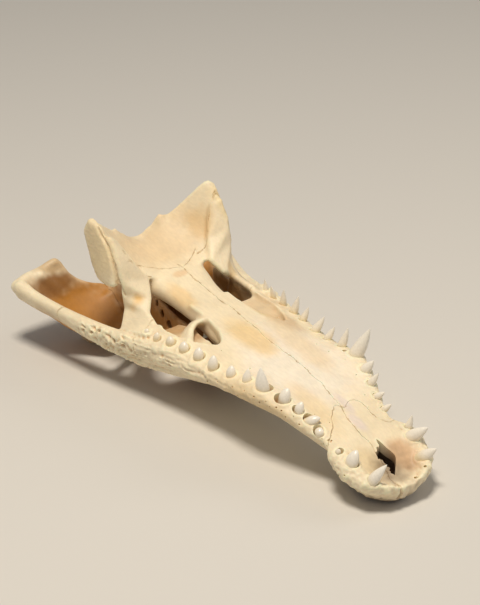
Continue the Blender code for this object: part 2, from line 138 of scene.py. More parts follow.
# %% Tubes and sheets
def add_to(bm, part):
    """Moves a finished part into bm, with its faces pointing out."""
    bmesh.ops.recalc_face_normals(part, faces=part.faces)
    scratch = bpy.data.meshes.new("scratch")
    part.to_mesh(scratch)
    part.free()
    bm.from_mesh(scratch)
    bpy.data.meshes.remove(scratch)


def bent_grid(place, columns, rows):
    """A grid whose point at the shares (u, v) is moved to place(u, v)."""
    part = bmesh.new()
    bmesh.ops.create_grid(part, x_segments=columns, y_segments=rows, size=1)
    for vert in part.verts:
        vert.co = place((vert.co.x + 1) / 2, (vert.co.y + 1) / 2)
    return part


def tube(bm, place, columns, rows):
    part = bent_grid(place, columns, rows)
    bmesh.ops.remove_doubles(part, verts=part.verts, dist=0.001)
    ends = [edge for edge in part.edges if edge.is_boundary]
    bmesh.ops.holes_fill(part, edges=ends, sides=0)
    add_to(bm, part)


def sheet(bm, place, columns, rows, thickness):
    part = bent_grid(place, columns, rows)
    bmesh.ops.recalc_face_normals(part, faces=part.faces)
    part.normal_update()
    for vert in part.verts:
        vert.co -= vert.normal * (thickness / 2)
    bmesh.ops.solidify(part, geom=part.faces[:], thickness=-thickness)
    add_to(bm, part)


def oval(centre, across, up, share, squareness=2.0):
    """Point at a share of the turn round an oval; across and up are half sizes as vectors."""
    angle = 2 * math.pi * share
    c, s = math.cos(angle), math.sin(angle)
    return (Vector(centre) + Vector(across) * math.copysign(abs(c)**(2 / squareness), c)
            + Vector(up) * math.copysign(abs(s)**(2 / squareness), s))


def filled(makers):
    bm = bmesh.new()
    for maker in makers:
        maker(bm)
    return bm


def measure(name, *makers):
    """Prints the size of what the makers make."""
    bm = filled(makers)
    size = np.ptp([vert.co for vert in bm.verts], axis=0)
    print(f"{name}: {len(bm.faces)} faces, {' x '.join(f'{side:.0f}' for side in size)} mm")
    bm.free()


measure("a straight bar",
        lambda bm: tube(bm, lambda u, v: oval((0, 80 * v, 0), (9, 0, 0), (0, 0, 5), u), 24, 8))

# %% [markdown]
# ## Skins round balls
# A strut, a knob or a thin plate is a convex skin round a few balls: they are its joints, and
# their radii are half its thickness. A row of such skins can bend. The skull is nearly
# symmetric, so most of them are made on both sides.

# %% Skins round balls
def skin(bm, balls):
    """Convex skin round balls (x, y, z, radius)."""
    part = bmesh.new()
    for x, y, z, radius in balls:
        place = Matrix.Translation((x, y, z))
        bmesh.ops.create_icosphere(part, subdivisions=3, radius=radius, matrix=place)
    made = bmesh.ops.convex_hull(part, input=part.verts)
    spare = {item for item in made["geom_interior"] + made["geom_unused"]
             if isinstance(item, bmesh.types.BMVert)}
    bmesh.ops.delete(part, geom=list(spare), context="VERTS")
    add_to(bm, part)


def linked(bm, groups):
    """A skin round each group of balls and the next one."""
    for group, following in zip(groups, groups[1:]):
        skin(bm, group + following)


def chain(bm, balls):
    linked(bm, [[ball] for ball in balls])


def on_side(balls, side=-1):
    """The balls with each x times the side's sign."""
    return [(side * x, y, z, radius) for x, y, z, radius in balls]


def both_sides(make, bm, balls):
    make(bm, balls)
    make(bm, on_side(balls))


def new_object(name, bm):
    mesh = bpy.data.meshes.new(name)
    bm.to_mesh(mesh)
    bm.free()
    made = bpy.data.objects.new(name, mesh)
    bpy.context.scene.collection.objects.link(made)
    return made


def made_of(name, *makers):
    return new_object(name, filled(makers))


measure("a bent strut", lambda bm: chain(bm, [(0, 0, 0, 5), (20, 0, 0, 3), (30, 9, 0, 4)]))

# %% [markdown]
# ## Where the teeth stand
# A crocodile's teeth stand in separate sockets along the rim of the jaw, and the bone swells
# round each of them. So their places come first, and the rim, the sockets and the teeth
# themselves are all worked out from this one list.

# %% The row of teeth on each side
# On each side, from the tip back: x and y of the tooth's middle at the rim, the crown's length
# and radius, and how far it leans outwards and forwards for each mm upwards. Teeth of one animal
# differ from side to side, as they are lost and replaced all its life.
TEETH = {
    "right": [(30.4, 20.5, 15, 5.2, 0.72, 0.80), (34.6, 42.2, 19, 5.8, 0.70, 0.85),
              (38.9, 52.0, 13.5, 3.4, 0.26, 0.07), (36.7, 83.5, 9.5, 3.1, 0.67, 0.70),
              (38.3, 96.9, 9.5, 3.3, 0.79, 0.90), (42.0, 110.0, 13.7, 3.5, 0.45, 0.37),
              (47.6, 125.3, 13, 4.8, 0.51, 0.48), (54.2, 146.9, 31, 6.6, 0.36, 0.25),
              (56.5, 169.6, 21, 4.1, 0.27, 0.13), (56.0, 190.0, 16, 3.5, 0.40, 0.29),
              (57.0, 209.4, 19, 4.2, 0.43, 0.34), (61.5, 233.0, 16, 3.7, 0.34, 0.21),
              (64.2, 250.1, 19, 4.1, 0.26, 0.12), (66.4, 269.0, 17, 3.7, 0.12, -0.02),
              (69.7, 286.5, 15, 3.0, -0.10, -0.15), (70.5, 300.0, 12, 2.8, -0.02, -0.14)],
    "left": [(30.7, 16.1, 19, 4.9, -0.43, 0.26), (35.8, 39.5, 12.6, 5.6, -0.23, -0.01),
             (37.8, 55.6, 3.0, 2.6, 0.1, 0.3), (35.7, 84.5, 4.2, 4.4, -0.03, -0.1),
             (36.8, 97.6, 9.2, 4.0, -0.85, 1.0), (40.2, 109.7, 8.5, 4.2, -0.19, -0.02),
             (44.6, 125.6, 11, 5.2, -0.18, -0.03), (51.5, 147.4, 19.5, 6.4, 0.16, -0.25),
             (52.6, 168.9, 11, 4.6, -0.03, -0.15), (55.8, 188.1, 9, 4.7, -0.02, -0.16),
             (59.6, 210.0, 11.5, 5.0, 0.0, -0.17), (60.2, 231.3, 9.5, 5.1, 0.01, -0.17),
             (62.3, 251.0, 7.5, 5.0, 0.04, -0.19), (65.0, 268.3, 7.2, 4.6, 0.08, -0.20),
             (69.0, 284.5, 7, 3.6, 0.0, -0.15), (71.0, 298.0, 2.5, 2.4, 0.0, -0.1)]}
SIDE = {"right": 1, "left": -1}
print("teeth:", {side: len(rows) for side, rows in TEETH.items()})

# %% [markdown]
# ## The snout
# The snout is one long closed box of paired bones: premaxillae at the tip, maxillae behind,
# nasals on the roof. Its section is nearly flat on the palate, with rounded rims that carry the
# teeth, and a low vault on the other side. The rim isn't straight. It swells outwards round the
# root of each tooth and is pinched between them, which is why the outline looks scalloped.

# %% The snout's section at each place
PALATE_SQUARE = 3.2
DISH = (0.86, 0.41)


def scallop(side, y):
    """How far the rim swells at y, in mm."""
    swell = sum(math.exp(-((y - place) / (1.5 * radius))**2) * 0.45 * radius
                for _, place, _, radius, _, _ in TEETH[side])
    return swell - 0.7


def snout_point(u, v):
    y = SNOUT_END * (0.005 + 0.995 * v**1.25)
    half = max(snout_half_width(y), 4.0)
    side, margin = along(SIDE_Z, y), along(MARGIN_Z, y)
    palate, roof = along(PALATE_Z, y), along(ROOF_Z, y)
    angle = 2 * math.pi * u
    c, s = math.cos(angle), math.sin(angle)
    share = math.copysign(abs(c)**(2 / PALATE_SQUARE), c)
    rim = math.exp(-((abs(share) - 0.95) / 0.12)**2)
    if s >= 0:
        inner = min(max((DISH[0] - abs(share)) / (DISH[0] - DISH[1]), 0.0), 1.0)
        dish = (palate - margin) * inner * inner * (3 - 2 * inner)
        arch = (1 - abs(share)**PALATE_SQUARE)**(1 / PALATE_SQUARE)
        z = side + (margin - side) * arch + dish
    else:
        z = side - (side - roof) * (1 - share * share)
    swell = scallop("right" if share > 0 else "left", y) * rim
    return Vector((share * half + math.copysign(swell, share), y, z))


def snout(bm):
    tube(bm, snout_point, 120, 150)


measure("snout", snout)

# %% [markdown]
# ## Cheeks, bars and roof
# Behind the snout the skull is an open frame. The cheek bar runs from the maxilla to the jaw
# joint, the palatine bar carries the floor of the nose passage between two long openings, and a
# waisted strip of roof runs between the eye sockets to the flat table over the brain.

# %% Bars with oval sections
CHEEK = [(222, 54, -17, 8, 14), (262, 64, -25, 8.5, 17), (300, 73, -33, 8.5, 18),
         (335, 82, -37, 8, 14), (365, 90.5, -39, 7.5, 12), (400, 98.5, -40, 6.5, 10),
         (435, 106, -41, 6.5, 10.5), (456, 109, -40, 8, 12)]
CHEEK_LEAN = 0.4
RIGHT_SAG = 7.5                         # the right bar hangs lower in the middle
PALATINE = [(222, 34, 5, 14), (248, 27, 5, 25), (285, 24, 5, 25), (315, 25, 5.5, 24),
            (345, 31, 8, 26), (375, 38, 6, 26)]
BROW = [(236, 28, -41, 9), (262, 26, -49, 10), (290, 18, -59, 10), (315, 18, -66, 10),
        (336, 28, -73, 10), (357, 34, -80, 10)]


def cheeks(bm):
    for side in (1, -1):
        upward = Vector((side * CHEEK_LEAN, 0, 1)).normalized()
        outward = Vector((0, 1, 0)).cross(upward)

        def place(u, v):
            y = part_way(CHEEK, v)
            x, z, thick, tall = along(CHEEK, y)
            z -= RIGHT_SAG * math.exp(-((y - 362) / 30)**2) * (side > 0)
            return oval((side * x, y, z), outward * thick, upward * tall, u, 2.4)

        tube(bm, place, 48, 80)


def bars(bm):
    for keys in (PALATINE, BROW):

        def place(u, v):
            y = part_way(keys, v)
            half, face, depth = along(keys, y)
            return oval((0, y, face - depth / 2), (half, 0, 0), (0, 0, depth / 2), u, 2.6)

        tube(bm, place, 60, 50)


measure("cheek bars", cheeks)
measure("palatine bar and brow", bars)

# %% [markdown]
# ## Table, braincase and struts
# The flat table takes the skull's weight as it lies. Under it sits the box round the brain, with
# the knob of the neck joint behind. Thin struts tie the roof to the palate: the pillars in front
# of the eyes, and the bars behind them.

# %% Knobs, plates and struts
TABLE_FRONT, TABLE_REAR = 360.0, 424.0
TABLE_HALF = (42.0, 58.0)
TABLE_THICK = 9.0
HORN = (56.0, 432.0)


def skull_table(bm):
    radius = TABLE_THICK / 2
    skin(bm, [(side * (half - radius), y, floor_z(y) + radius, radius)
              for half, y in zip(TABLE_HALF, (TABLE_FRONT, TABLE_REAR)) for side in (1, -1)])
    x, y = HORN
    both_sides(skin, bm, [(42, 408, floor_z(408) + 6, 6), (x - 4, 414, floor_z(414) + 6, 6),
                          (x - 5, y - 5, floor_z(y - 5) + 5, 5)])


def struts(bm):
    both_sides(chain, bm, [(40, 361, -82, 7), (52, 356, -72, 5), (66, 350, -58, 5),
                           (76, 346, -48, 7)])
    both_sides(chain, bm, [(19, 288, -60, 6), (16, 290, -40, 4.5), (14, 294, -10, 6)])


def braincase(bm):
    skin(bm, [(0, 368, -78, 13), (0, 425, -78, 13), (0, 376, -16, 12), (0, 421, -20, 12)])
    skin(bm, [(12, 385, -78, 9), (-12, 385, -78, 9), (16, 424, -76, 9), (-16, 424, -76, 9),
              (10, 424, -28, 9), (-10, 424, -28, 9)])
    chain(bm, [(0, 424, -54, 12), (0, 437, -54, 10)])
    both_sides(skin, bm, [(20, 424, -72, 8), (54, 428, -80, 7), (52, 430, -68, 6),
                          (18, 424, -56, 7)])
    both_sides(chain, bm, [(6, 380, -82, 8), (17, 294, -60, 5)])


measure("table", skull_table)
measure("struts and braincase", struts, braincase)

# %% [markdown]
# ## Quadrate
# The quadrate is a dished plate behind the cheek that ends in the rounded roller of the jaw
# joint. The dish is a sheet: at each place along it a row of four points gives its section. The
# roller is a chain of balls, and a second chain ties the plate to the table.

# %% A dish and a roller
QUADRATE = [  # y, then x and z at the cheek, two places between, and the inner edge
    (376, 62, -72, 52, -77, 40, -78, 22, -74), (400, 86, -58, 72, -70, 52, -74, 22, -66),
    (420, 101, -48, 86, -60, 62, -66, 22, -58), (438, 108, -42, 92, -52, 66, -57, 22, -52),
    (445, 110, -40, 94, -46, 72, -51, 40, -47), (453, 111, -38, 96, -39, 78, -41, 54, -38),
    (462, 112, -36, 97, -31, 80, -29, 61, -25)]
QUADRATE_THICK = 6.0
JAW_ROLLER = [(111, 459, -38, 7), (98, 463, -33, 4.8), (82, 464, -31, 4.4), (67, 463, -26, 5)]


def quadrates(bm):
    for side in (1, -1):

        def place(u, v):
            y = part_way(QUADRATE, v)
            row = along(QUADRATE, y)
            x, z = along([(k, row[2 * k], row[2 * k + 1]) for k in range(4)], 3 * u)
            return Vector((side * x, y, z))

        sheet(bm, place, 36, 36, QUADRATE_THICK)
    both_sides(chain, bm, JAW_ROLLER)
    both_sides(chain, bm, [(52, 428, -78, 8), (60, 436, -68, 8), (76, 452, -48, 9),
                           (86, 460, -34, 8)])


measure("quadrates", quadrates)

# %% [markdown]
# ## Pterygoid
# The pterygoid is a broad plate behind the palatines whose sides sweep up into two wings. Its
# height is a formula of the place: level in front, and at the back it follows the ragged edge
# that the picture shows, spikes and all. Each wing's own edge is thick and grainy where the lower
# jaw slid along it, which a skin round eight balls gives.

# %% A plate that sweeps up into wings
WING_TIP = (70.0, 400.0)
PTERYGOID_FRONT, PTERYGOID_REAR = 352.0, 423.0
PTERYGOID_THICK = 4.4
REAR_EDGE = [(-72, 58), (-60, 50), (-48, 39.5), (-36, 29.5), (-24, 21.5), (-12, 11.5), (0, 7),
             (6, 8.5), (12, 13.5), (24, 22.5), (36, 30), (48, 42.5), (60, 57), (66, 63), (72, 61)]
REAR_SPIKES = [(-30.5, 3.5, 2.2), (23.5, 6.5, 4.2)]     # x, height, width
WING_REAR = [(70, 377, 7, 4.5), (70, 387, 15, 4), (70, 404, 43, 4), (70, 398, 56, 4)]
WING_FRONT = [(70, 356, 10, 4), (70, 366, 7, 4.5), (69, 384, 54, 3), (69, 362, 33, 3)]
WING_SHIFT = {"left": -8.0, "right": 0.0}     # the left wing's front edge stands further forward


def pterygoid_rear(out):
    return PTERYGOID_REAR - (PTERYGOID_REAR - WING_TIP[1]) * out**1.6


def pterygoid_z(x, y):
    out = min(abs(x) / WING_TIP[0], 1.0)
    back = max((y - PTERYGOID_FRONT) / (pterygoid_rear(out) - PTERYGOID_FRONT), 0.0)
    front = 5 + 14 * out**1.7
    bulge = 1.4 - (0.9 if x < 0 else 0.7) * out**3
    spikes = sum(height * math.exp(-((x - place) / width)**2)
                 for place, height, width in REAR_SPIKES)
    edge = min(max((back - 0.8) / 0.2, 0.0), 1.0)
    return front + (along(REAR_EDGE, x) - front) * back**bulge + spikes * edge**2


def pterygoid(bm):

    def place(u, v):
        x = WING_TIP[0] * (2 * u - 1)
        out = abs(2 * u - 1)
        front = PTERYGOID_FRONT - 6 + 20 * out**2
        y = front + (pterygoid_rear(out) - front) * v
        return Vector((x, y, pterygoid_z(x, y) - PTERYGOID_THICK / 2))

    sheet(bm, place, 70, 36, PTERYGOID_THICK)
    for side, shift in WING_SHIFT.items():
        front = [(x, y + shift + 8, z, radius) for x, y, z, radius in WING_FRONT]
        skin(bm, on_side(WING_REAR + front, SIDE[side]))


measure("pterygoid", pterygoid)

# %% [markdown]
# ## Ectopterygoids
# On each side a strut props the wing against the cheek. It is broad and thin and it twists, so
# it is given as levels from the wing down to the cheek, with the outer and the inner edge at
# each. The two sides differ, as they do in the picture.

# %% Struts given level by level
PROP = {  # levels of each ectopterygoid, outer edge x, y, z, then inner edge
    "right": [(67, 380, 49, 61, 382, 44), (66, 374, 42, 55, 376, 35), (65, 363, 26, 47, 364, 20),
              (65, 358, 13, 38, 347, 8), (64.5, 355, 0, 45, 335, -1), (65, 350, -11, 55, 337, -9),
              (67, 340, -18, 58.5, 330, -11), (67.5, 319, -18, 60, 307, -11),
              (75, 326, -28, 59, 300, -12)],
    "left": [(67, 372, 49, 61, 374, 44), (66, 366, 42, 55, 368, 35), (65, 355, 26, 47, 356, 20),
             (64, 348, 13, 37.5, 350, 7), (62, 347, -3, 45.5, 333.5, -1),
             (60, 345, -15, 55.5, 321, -8.5), (75, 329, -26, 59, 301, -12)]}
PROP_RADIUS = 3.6


def props(bm):
    for side, levels in PROP.items():
        linked(bm, [on_side([(*row[:3], PROP_RADIUS), (*row[3:], PROP_RADIUS)], SIDE[side])
                    for row in levels])


measure("ectopterygoids", props)

# %% [markdown]
# ## Thin walls inside
# Through the two long openings of the palate the picture shows more bone: a shelf under the
# palate in front, a wall beside the middle with a few holes, another along the cheek, and on the
# left a floor between them. A little arch crosses the left opening, and a wedge closes the right
# one behind. The walls are sheets about 3.5 mm thick, made uneven by noise, because bone that
# nothing rubs isn't flat. The rest are skins round balls.

# %% Shelf, walls and arch
# a shelf's keys are y and z, or y and x, and a wall's are y, x, its upper and its lower edge
SHELF = {"right": [(238, -8), (270, -10), (302, -16)],
         "left": [(238, -8), (262, -10), (285, -13), (302, -19)]}
SHELF_INNER = [(236, 37), (248, 32), (262, 31), (302, 29.5)]
SHELF_OUTER, SHELF_THICK = 62.0, 3.4
MIDDLE_WALL = [(303, 19, -24, -50), (325, 18, -24, -57), (345, 17, -23, -61), (372, 14, -23, -66)]
WALL_THICK = 3.6
WALL_HOLES = [(-18, 358, -30, 3.6), (-18, 347, -35, 4.4), (-18, 334, -41, 5.4)]
SIDE_WALL = [(298, 62, -15, -46), (316, 60, -14, -50), (330, 58, -12, -54), (341, 57, -8, -55)]
LEFT_FLOOR = [(8, 242, -28.5, 1.8), (8, 281, -28.5, 1.8), (60, 240, -22, 2), (62, 281, -25, 2)]
RIGHT_WEDGE = [(64, 352, -27.5, 2.5), (64, 374, -25, 2.5), (66, 353, -50, 2.5),
               (68, 374, -52, 2.5), (86, 355, -46, 3), (94, 378, -48, 3)]
ARCH = [[(-53, 256, -4, 4.2), (-51, 264, -9, 4)], [(-42, 268.5, -1.5, 3), (-42, 276, -7, 3)],
        [(-33, 274, 0.5, 2.6), (-32, 281, -6, 3)], [(-24, 273, 1, 3), (-21, 281, -5, 3.4)]]
FOOT = [(60, 298, -13, 4), (72, 296, -14, 4.5), (75, 320, -25, 5.5), (62, 308, -17, 4)]


def inner_walls(bm):
    for side, heights in SHELF.items():

        def shelf(u, v):
            y = part_way(SHELF_INNER, v)
            inner = along(SHELF_INNER, y)
            x = inner + (SHELF_OUTER - inner) * u
            z = along(heights, y) + 1.5 * noise.noise(Vector((x, y, 0)) / 14)
            return Vector((SIDE[side] * x, y, z))

        sheet(bm, shelf, 24, 40, SHELF_THICK)
        for keys in (MIDDLE_WALL, SIDE_WALL):

            def wall(u, v):
                y = part_way(keys, u)
                x, top, bottom = along(keys, y)
                z = bottom + (top - bottom) * v
                x += 1.6 * noise.noise(Vector((0, y, z)) / 11)
                return Vector((SIDE[side] * x, y, z))

            sheet(bm, wall, 40, 24, WALL_THICK)
    both_sides(skin, bm, FOOT)
    linked(bm, ARCH)
    skin(bm, on_side(LEFT_FLOOR))
    skin(bm, RIGHT_WEDGE)


measure("inner walls", inner_walls)

# %% [markdown]
# ## Openings
# A crocodile's skull is full of windows: the nostril and the foramen at the tip, the eye
# sockets, the long openings beside the palatine bar, the two holes of the table. Each is cut
# with a plain solid of the opening's outline, as a carver would saw it before rounding the edge.

# %% Solids of the openings
HOLLOW = [(226, 34, -40, -1), (250, 44, -46, -1), (275, 52, -53, -3), (302, 60, -59, -6)]
ORBIT = (39.0, 313.0, 21.0, 29.0)
TABLE_HOLE = (24.0, 392.0, 10.0, 14.0)
NOSTRIL = [(9, 29, -27, 5), (9, 56, -17, 5), (9, 29, -70, 5), (9, 60, -70, 5)]
TIP_FORAMEN = [(1.5, 51), (5.3, 41.5), (7.5, 37.5), (9, 33), (7, 29), (4, 25.5), (-2.5, 18.5),
               (-3.2, 24.5), (-4.2, 29.5), (-6.2, 34), (-7.8, 38.5), (-4.5, 43), (-0.8, 45)]
PALATE_OPENING = [(37, 231), (46, 243), (53, 260), (56, 282), (55, 303), (49, 322), (43, 336),
                  (38, 348), (34, 357), (30, 348), (27, 332), (25, 312), (23, 290), (24, 268),
                  (28, 246)]
INNER_NOSTRIL = (-5.0, 11.0, 5.0)
CORD_HOLE = (-72.0, 7.0, 6.0)


def upright_hole(bm, hole, low, high, sides=(1,)):
    x, y, half_x, half_y = hole
    for side in sides:
        tube(bm, lambda u, v: oval((side * x, y, low + (high - low) * v), (half_x, 0, 0),
                                   (0, half_y, 0), u), 48, 1)


def level_hole(bm, hole, front, back):
    z, half_x, half_z = hole
    tube(bm, lambda u, v: oval((0, front + (back - front) * v, z), (half_x, 0, 0),
                               (0, 0, half_z), u), 32, 1)


def outlined_hole(bm, outline, low, high, side=1, ragged=0.0):
    """Upright solid inside an outline; ragged is how much its left edge wanders."""
    closed = outline[-2:] + outline + outline[:2]
    keys = [(k - 2, x, y) for k, (x, y) in enumerate(closed)]

    def place(u, v):
        x, y = along(keys, u * len(outline))
        if x < 0:
            y += ragged * noise.noise(Vector((x, y, 0)) / 1.3)
            x += ragged * noise.noise(Vector((x, y, 9)) / 1.3)
        return Vector((side * x, y, low + (high - low) * v))

    tube(bm, place, 90, 1)


def shell_openings(bm):

    def place(u, v):
        y = part_way(HOLLOW, v)
        half, low, high = along(HOLLOW, y)
        return oval((0, y, (low + high) / 2), (half, 0, 0), (0, 0, (high - low) / 2), u, 2.8)

    tube(bm, place, 64, 24)
    upright_hole(bm, ORBIT, -130, -40, (1, -1))
    skin(bm, NOSTRIL + on_side(NOSTRIL))
    for side in (1, -1):
        outlined_hole(bm, PALATE_OPENING, -22, 30, side)


def skull_openings(bm):
    for x, y, z, radius in WALL_HOLES:
        skin(bm, [(x - 6, y, z, radius), (x + 6, y - 1, z, radius * 0.8)])
    upright_hole(bm, TABLE_HOLE, -130, -76, (1, -1))
    level_hole(bm, INNER_NOSTRIL, 403, 440)
    level_hole(bm, CORD_HOLE, 418, 450)


measure("openings", shell_openings, skull_openings)

# %% [markdown]
# ## Fusing the skull
# All these tubes, sheets and knobs overlap. A voxel remesh melts them into one closed skin, and
# a few rounds of smoothing turn each corner between them into the soft fillet that bone has.
# The coarse pass sets those fillets. A second, finer pass gives the grain that the sculpture
# needs: a millimetre is about one pixel in the picture.

# %% Melt, cut and refine
ROUGH_VOXEL = 1.6
FINE_VOXEL = 1.0


def settled(piece):
    """The piece with its modifiers made real."""
    graph = bpy.context.evaluated_depsgraph_get()
    mesh = bpy.data.meshes.new_from_object(piece.evaluated_get(graph))
    piece.modifiers.clear()
    piece.data = mesh
    return piece


def melted(piece, voxel, rounds=0):
    remesh = piece.modifiers.new("melt", "REMESH")
    remesh.mode = "VOXEL"
    remesh.voxel_size = voxel
    if rounds:
        smooth = piece.modifiers.new("round", "SMOOTH")
        smooth.iterations = rounds
        smooth.factor = 0.5
    return settled(piece)


def combine(piece, other, operation):
    boolean = piece.modifiers.new("combine", "BOOLEAN")
    boolean.operation = operation
    boolean.solver = "MANIFOLD"
    boolean.object = other
    settled(piece)
    bpy.data.objects.remove(other)


skull = melted(made_of("skull", snout, cheeks), ROUGH_VOXEL)
combine(skull, melted(made_of("openings", shell_openings), ROUGH_VOXEL), "DIFFERENCE")
combine(skull, melted(made_of("rest", bars, skull_table, struts, braincase, quadrates,
                              pterygoid, props, inner_walls), ROUGH_VOXEL), "UNION")
combine(skull, melted(made_of("holes", skull_openings), ROUGH_VOXEL), "DIFFERENCE")
melted(skull, ROUGH_VOXEL, 5)
melted(skull, FINE_VOXEL, 1)
print("fused skull:", len(skull.data.polygons), "faces")


# %% [markdown]
# ## Where the skull lies
# The roof's table and the rim of the nostril carry the skull. A real one has worn or pressed
# flats there, so everything under the resting level is taken off.

# %% Flats at the resting level
def resting_floor(bm):
    deep = 60.0
    place = Matrix.Translation((0, REST_Y, REST_Z)) @ Matrix.Rotation(-PITCH, 4, "X")
    drop = Matrix.Translation((0, 0, FLAT - deep / 2))
    size = Matrix.Diagonal((400, 1400, deep, 1))
    bmesh.ops.create_cube(bm, size=1.0, matrix=place @ drop @ size)


print("resting level in mm:", {y: round(floor_z(y), 1) for y in (REST_Y, TABLE_FRONT)})

# %% [markdown]
# ## Two kinds of noise
# The bone's relief is never regular, so it comes from noise. Smooth noise gives waves and lumps.
# Cellular noise gives pits with sharp walls between them: a wall runs where the two nearest
# cells are equally far. Both are worked out for every point of the mesh, and not in a texture,
# because they have to move the surface itself.

# %% Smooth and cellular noise
def smoothstep(low, high, value):
    share = np.clip((value - low) / (high - low), 0, 1)
    return share * share * (3 - 2 * share)


def vertex_values(mesh, name):
    values = np.empty(3 * len(mesh.vertices))
    mesh.vertices.foreach_get(name, values)
    return values.reshape(-1, 3)


def noise_at(places, size, seed=0.0):
    """Smooth noise between -1 and 1 whose lumps are about size mm wide."""
    shift = Vector((seed, 2.3 * seed, 5.1 * seed))
    return np.array([noise.noise(Vector(p) + shift) for p in places / size])


def walls_at(places, size):
    """0 on the walls of a cellular pattern, rising to 1 inside its cells."""
    gaps = np.zeros(len(places))
    for k, p in enumerate(places / size):
        near = noise.voronoi(Vector(p))[0]
        gaps[k] = near[1] - near[0]
    return smoothstep(0.02, 0.7, gaps)


print("noise 1 mm apart:", noise_at(np.array([[3.0, 5.0, 0.0], [4.0, 5.0, 0.0]]), 9.0).round(2))

# %% [markdown]
# ## Where the bone is rough
# A crocodile's outer bone is pitted: vessels under the skin leave hollows, deepest on the cheek
# and stretched along the snout. The palate is smooth. So each kind of relief has its own depth
# along the skull, and it fades out over the tooth row.

# %% Depths along the skull and the outer side
# keys are y and x of the tooth row, and y and the relief's height in mm
ROW_X = [(0, 12), (10, 27), (16, 31), (40, 36), (55, 38), (84, 36), (97, 37.5), (110, 41),
         (126, 46), (147, 53), (190, 56), (232, 61), (268, 66), (300, 70), (330, 76), (380, 86),
         (470, 100)]
PIT_DEPTH = [(0, 1.0), (62, 1.0), (75, 0.3), (110, 0.4), (150, 0.8), (215, 1.2), (250, 0.8),
             (285, 1.4), (315, 3.2), (352, 3.2), (374, 1.2), (390, 0.2), (470, 0.1)]
GROOVE_DEPTH = [(0, 0.1), (150, 0.3), (200, 0.9), (235, 1.3), (310, 1.4), (345, 0.5), (365, 0)]
WING_GROOVE = [(345, 2), (347.3, 6.6), (351.2, 13.3), (355.6, 25.4), (361.5, 35.4), (369, 44.6),
               (380.2, 52.1), (386, 57)]


def away_from_line(y, z, line):
    """Distance in the y-z plane to a line of points."""
    nearest = np.full(len(y), 1e9)
    for (y0, z0), (y1, z1) in zip(line, line[1:]):
        dy, dz = y1 - y0, z1 - z0
        t = np.clip(((y - y0) * dy + (z - z0) * dz) / (dy * dy + dz * dz), 0, 1)
        nearest = np.minimum(nearest, np.hypot(y - y0 - t * dy, z - z0 - t * dz))
    return nearest


def outer_side(places, normals):
    """1 on the outer side of the snout and the cheek, 0 on the palate and inside."""
    x, y, z = places.T
    row = np.interp(y, *zip(*ROW_X))
    outward = smoothstep(0.0, 0.3, (normals[:, 0] * x + normals[:, 2] * (z + 32))
                         / np.hypot(x, z + 32))
    facing = np.interp(y, (200, 230, 340, 360), (0.85, 1.05, 1.05, 0.85))
    return (smoothstep(row + 1.5, row + 4.5, np.abs(x))
            * np.clip((facing - normals[:, 2]) / 0.3, 0, 1)
            * outward * smoothstep(26, 12, z))


print("share of outer side at a cheek:",
      outer_side(np.array([[88.0, 330.0, -38.0]]), np.array([[1.0, 0.0, 0.0]])).round(2))

# %% [markdown]
# ## Sculpture of the surface
# Pits, ridges along the cheek, the groove in the left wing's edge, the knobs of the tip and a
# collar round each tooth are added up to one height, and each point moves that far along its
# normal. It is real relief, and not bump in a material, because the light that grazes the side
# shows it in the outline too.

# %% Move every point by its relief
def sculpted(piece):
    mesh = piece.data
    places, normals = vertex_values(mesh, "co"), vertex_values(mesh, "normal")
    x, y, z = places.T
    height = noise_at(places, 26.0) * 0.35 + noise_at(places, 9.0, 7.0) * 0.14
    roof = smoothstep(-0.35, -0.75, normals[:, 2]) * smoothstep(-30, -42, z)
    outer = np.maximum(outer_side(places, normals), roof)
    depth = np.interp(y, *zip(*PIT_DEPTH)) * outer
    pitted = depth > 0.02
    spots = places[pitted] / [1, 1.35, 1]
    spots += noise_at(places[pitted], 6.0, 3.0)[:, None] * 2.4
    pits = walls_at(spots, 6.0) * (0.7 + 0.9 * noise_at(places[pitted], 11.0, 5.0))
    height[pitted] += depth[pitted] * (0.5 - pits + 0.45 * noise_at(places[pitted], 12.0, 15.0))
    height[pitted] += 0.3 * depth[pitted] * noise_at(places[pitted], 2.6, 21.0)
    along_side = np.column_stack([x / 12, y / 24, (z + 0.17 * y) / 3.4])
    ridges = 1 - 2 * np.abs(noise_at(along_side, 1.0, 31.0))
    height += np.interp(y, *zip(*GROOVE_DEPTH)) * outer * (np.abs(x) > 30) * (ridges - 0.6)
    grainy = smoothstep(64, 68, np.abs(x)) * smoothstep(-2, 8, z) * (y > 345)
    height += 0.3 * grainy * noise_at(places, 1.9, 11.0)
    groove = away_from_line(y, z, WING_GROOVE)
    facing = smoothstep(0.2, 0.6, normals[:, 0] * np.sign(x)) * smoothstep(61, 65, np.abs(x))
    height -= 1.9 * np.exp(-(groove / 1.3)**2) * facing * (x < 0)
    tip = smoothstep(66, 54, y) * smoothstep(26, 34, np.hypot(x, y - 40))
    height += 1.1 * tip * noise_at(places, 5.5, 41.0) + 0.6 * tip * noise_at(places, 2.6, 43.0)
    height -= 1.6 * np.exp(-((x + 9) / 1.3)**2) * smoothstep(16, 8, y) * (z > -34)
    for side, rows in TEETH.items():
        for tooth_x, tooth_y, _, radius, _, _ in rows:
            away = np.hypot(x - SIDE[side] * tooth_x, y - tooth_y)
            collar = np.exp(-((away - radius - 2.0) / 1.5)**2)
            height += 0.75 * collar * smoothstep(-0.2, 0.5, normals[:, 2])
    mesh.vertices.foreach_set("co", (places + normals * height[:, None]).ravel())
    mesh.update()


sculpted(skull)
print("sculpted", len(skull.data.vertices), "points")

# %% [markdown]
# ## Sockets
# Each tooth stands in a socket that is a little wider than its root. A tapered plug is cut out
# for each, placed on the surface that a ray from outside meets, because the relief has moved the
# rim a little and the socket has to follow it.

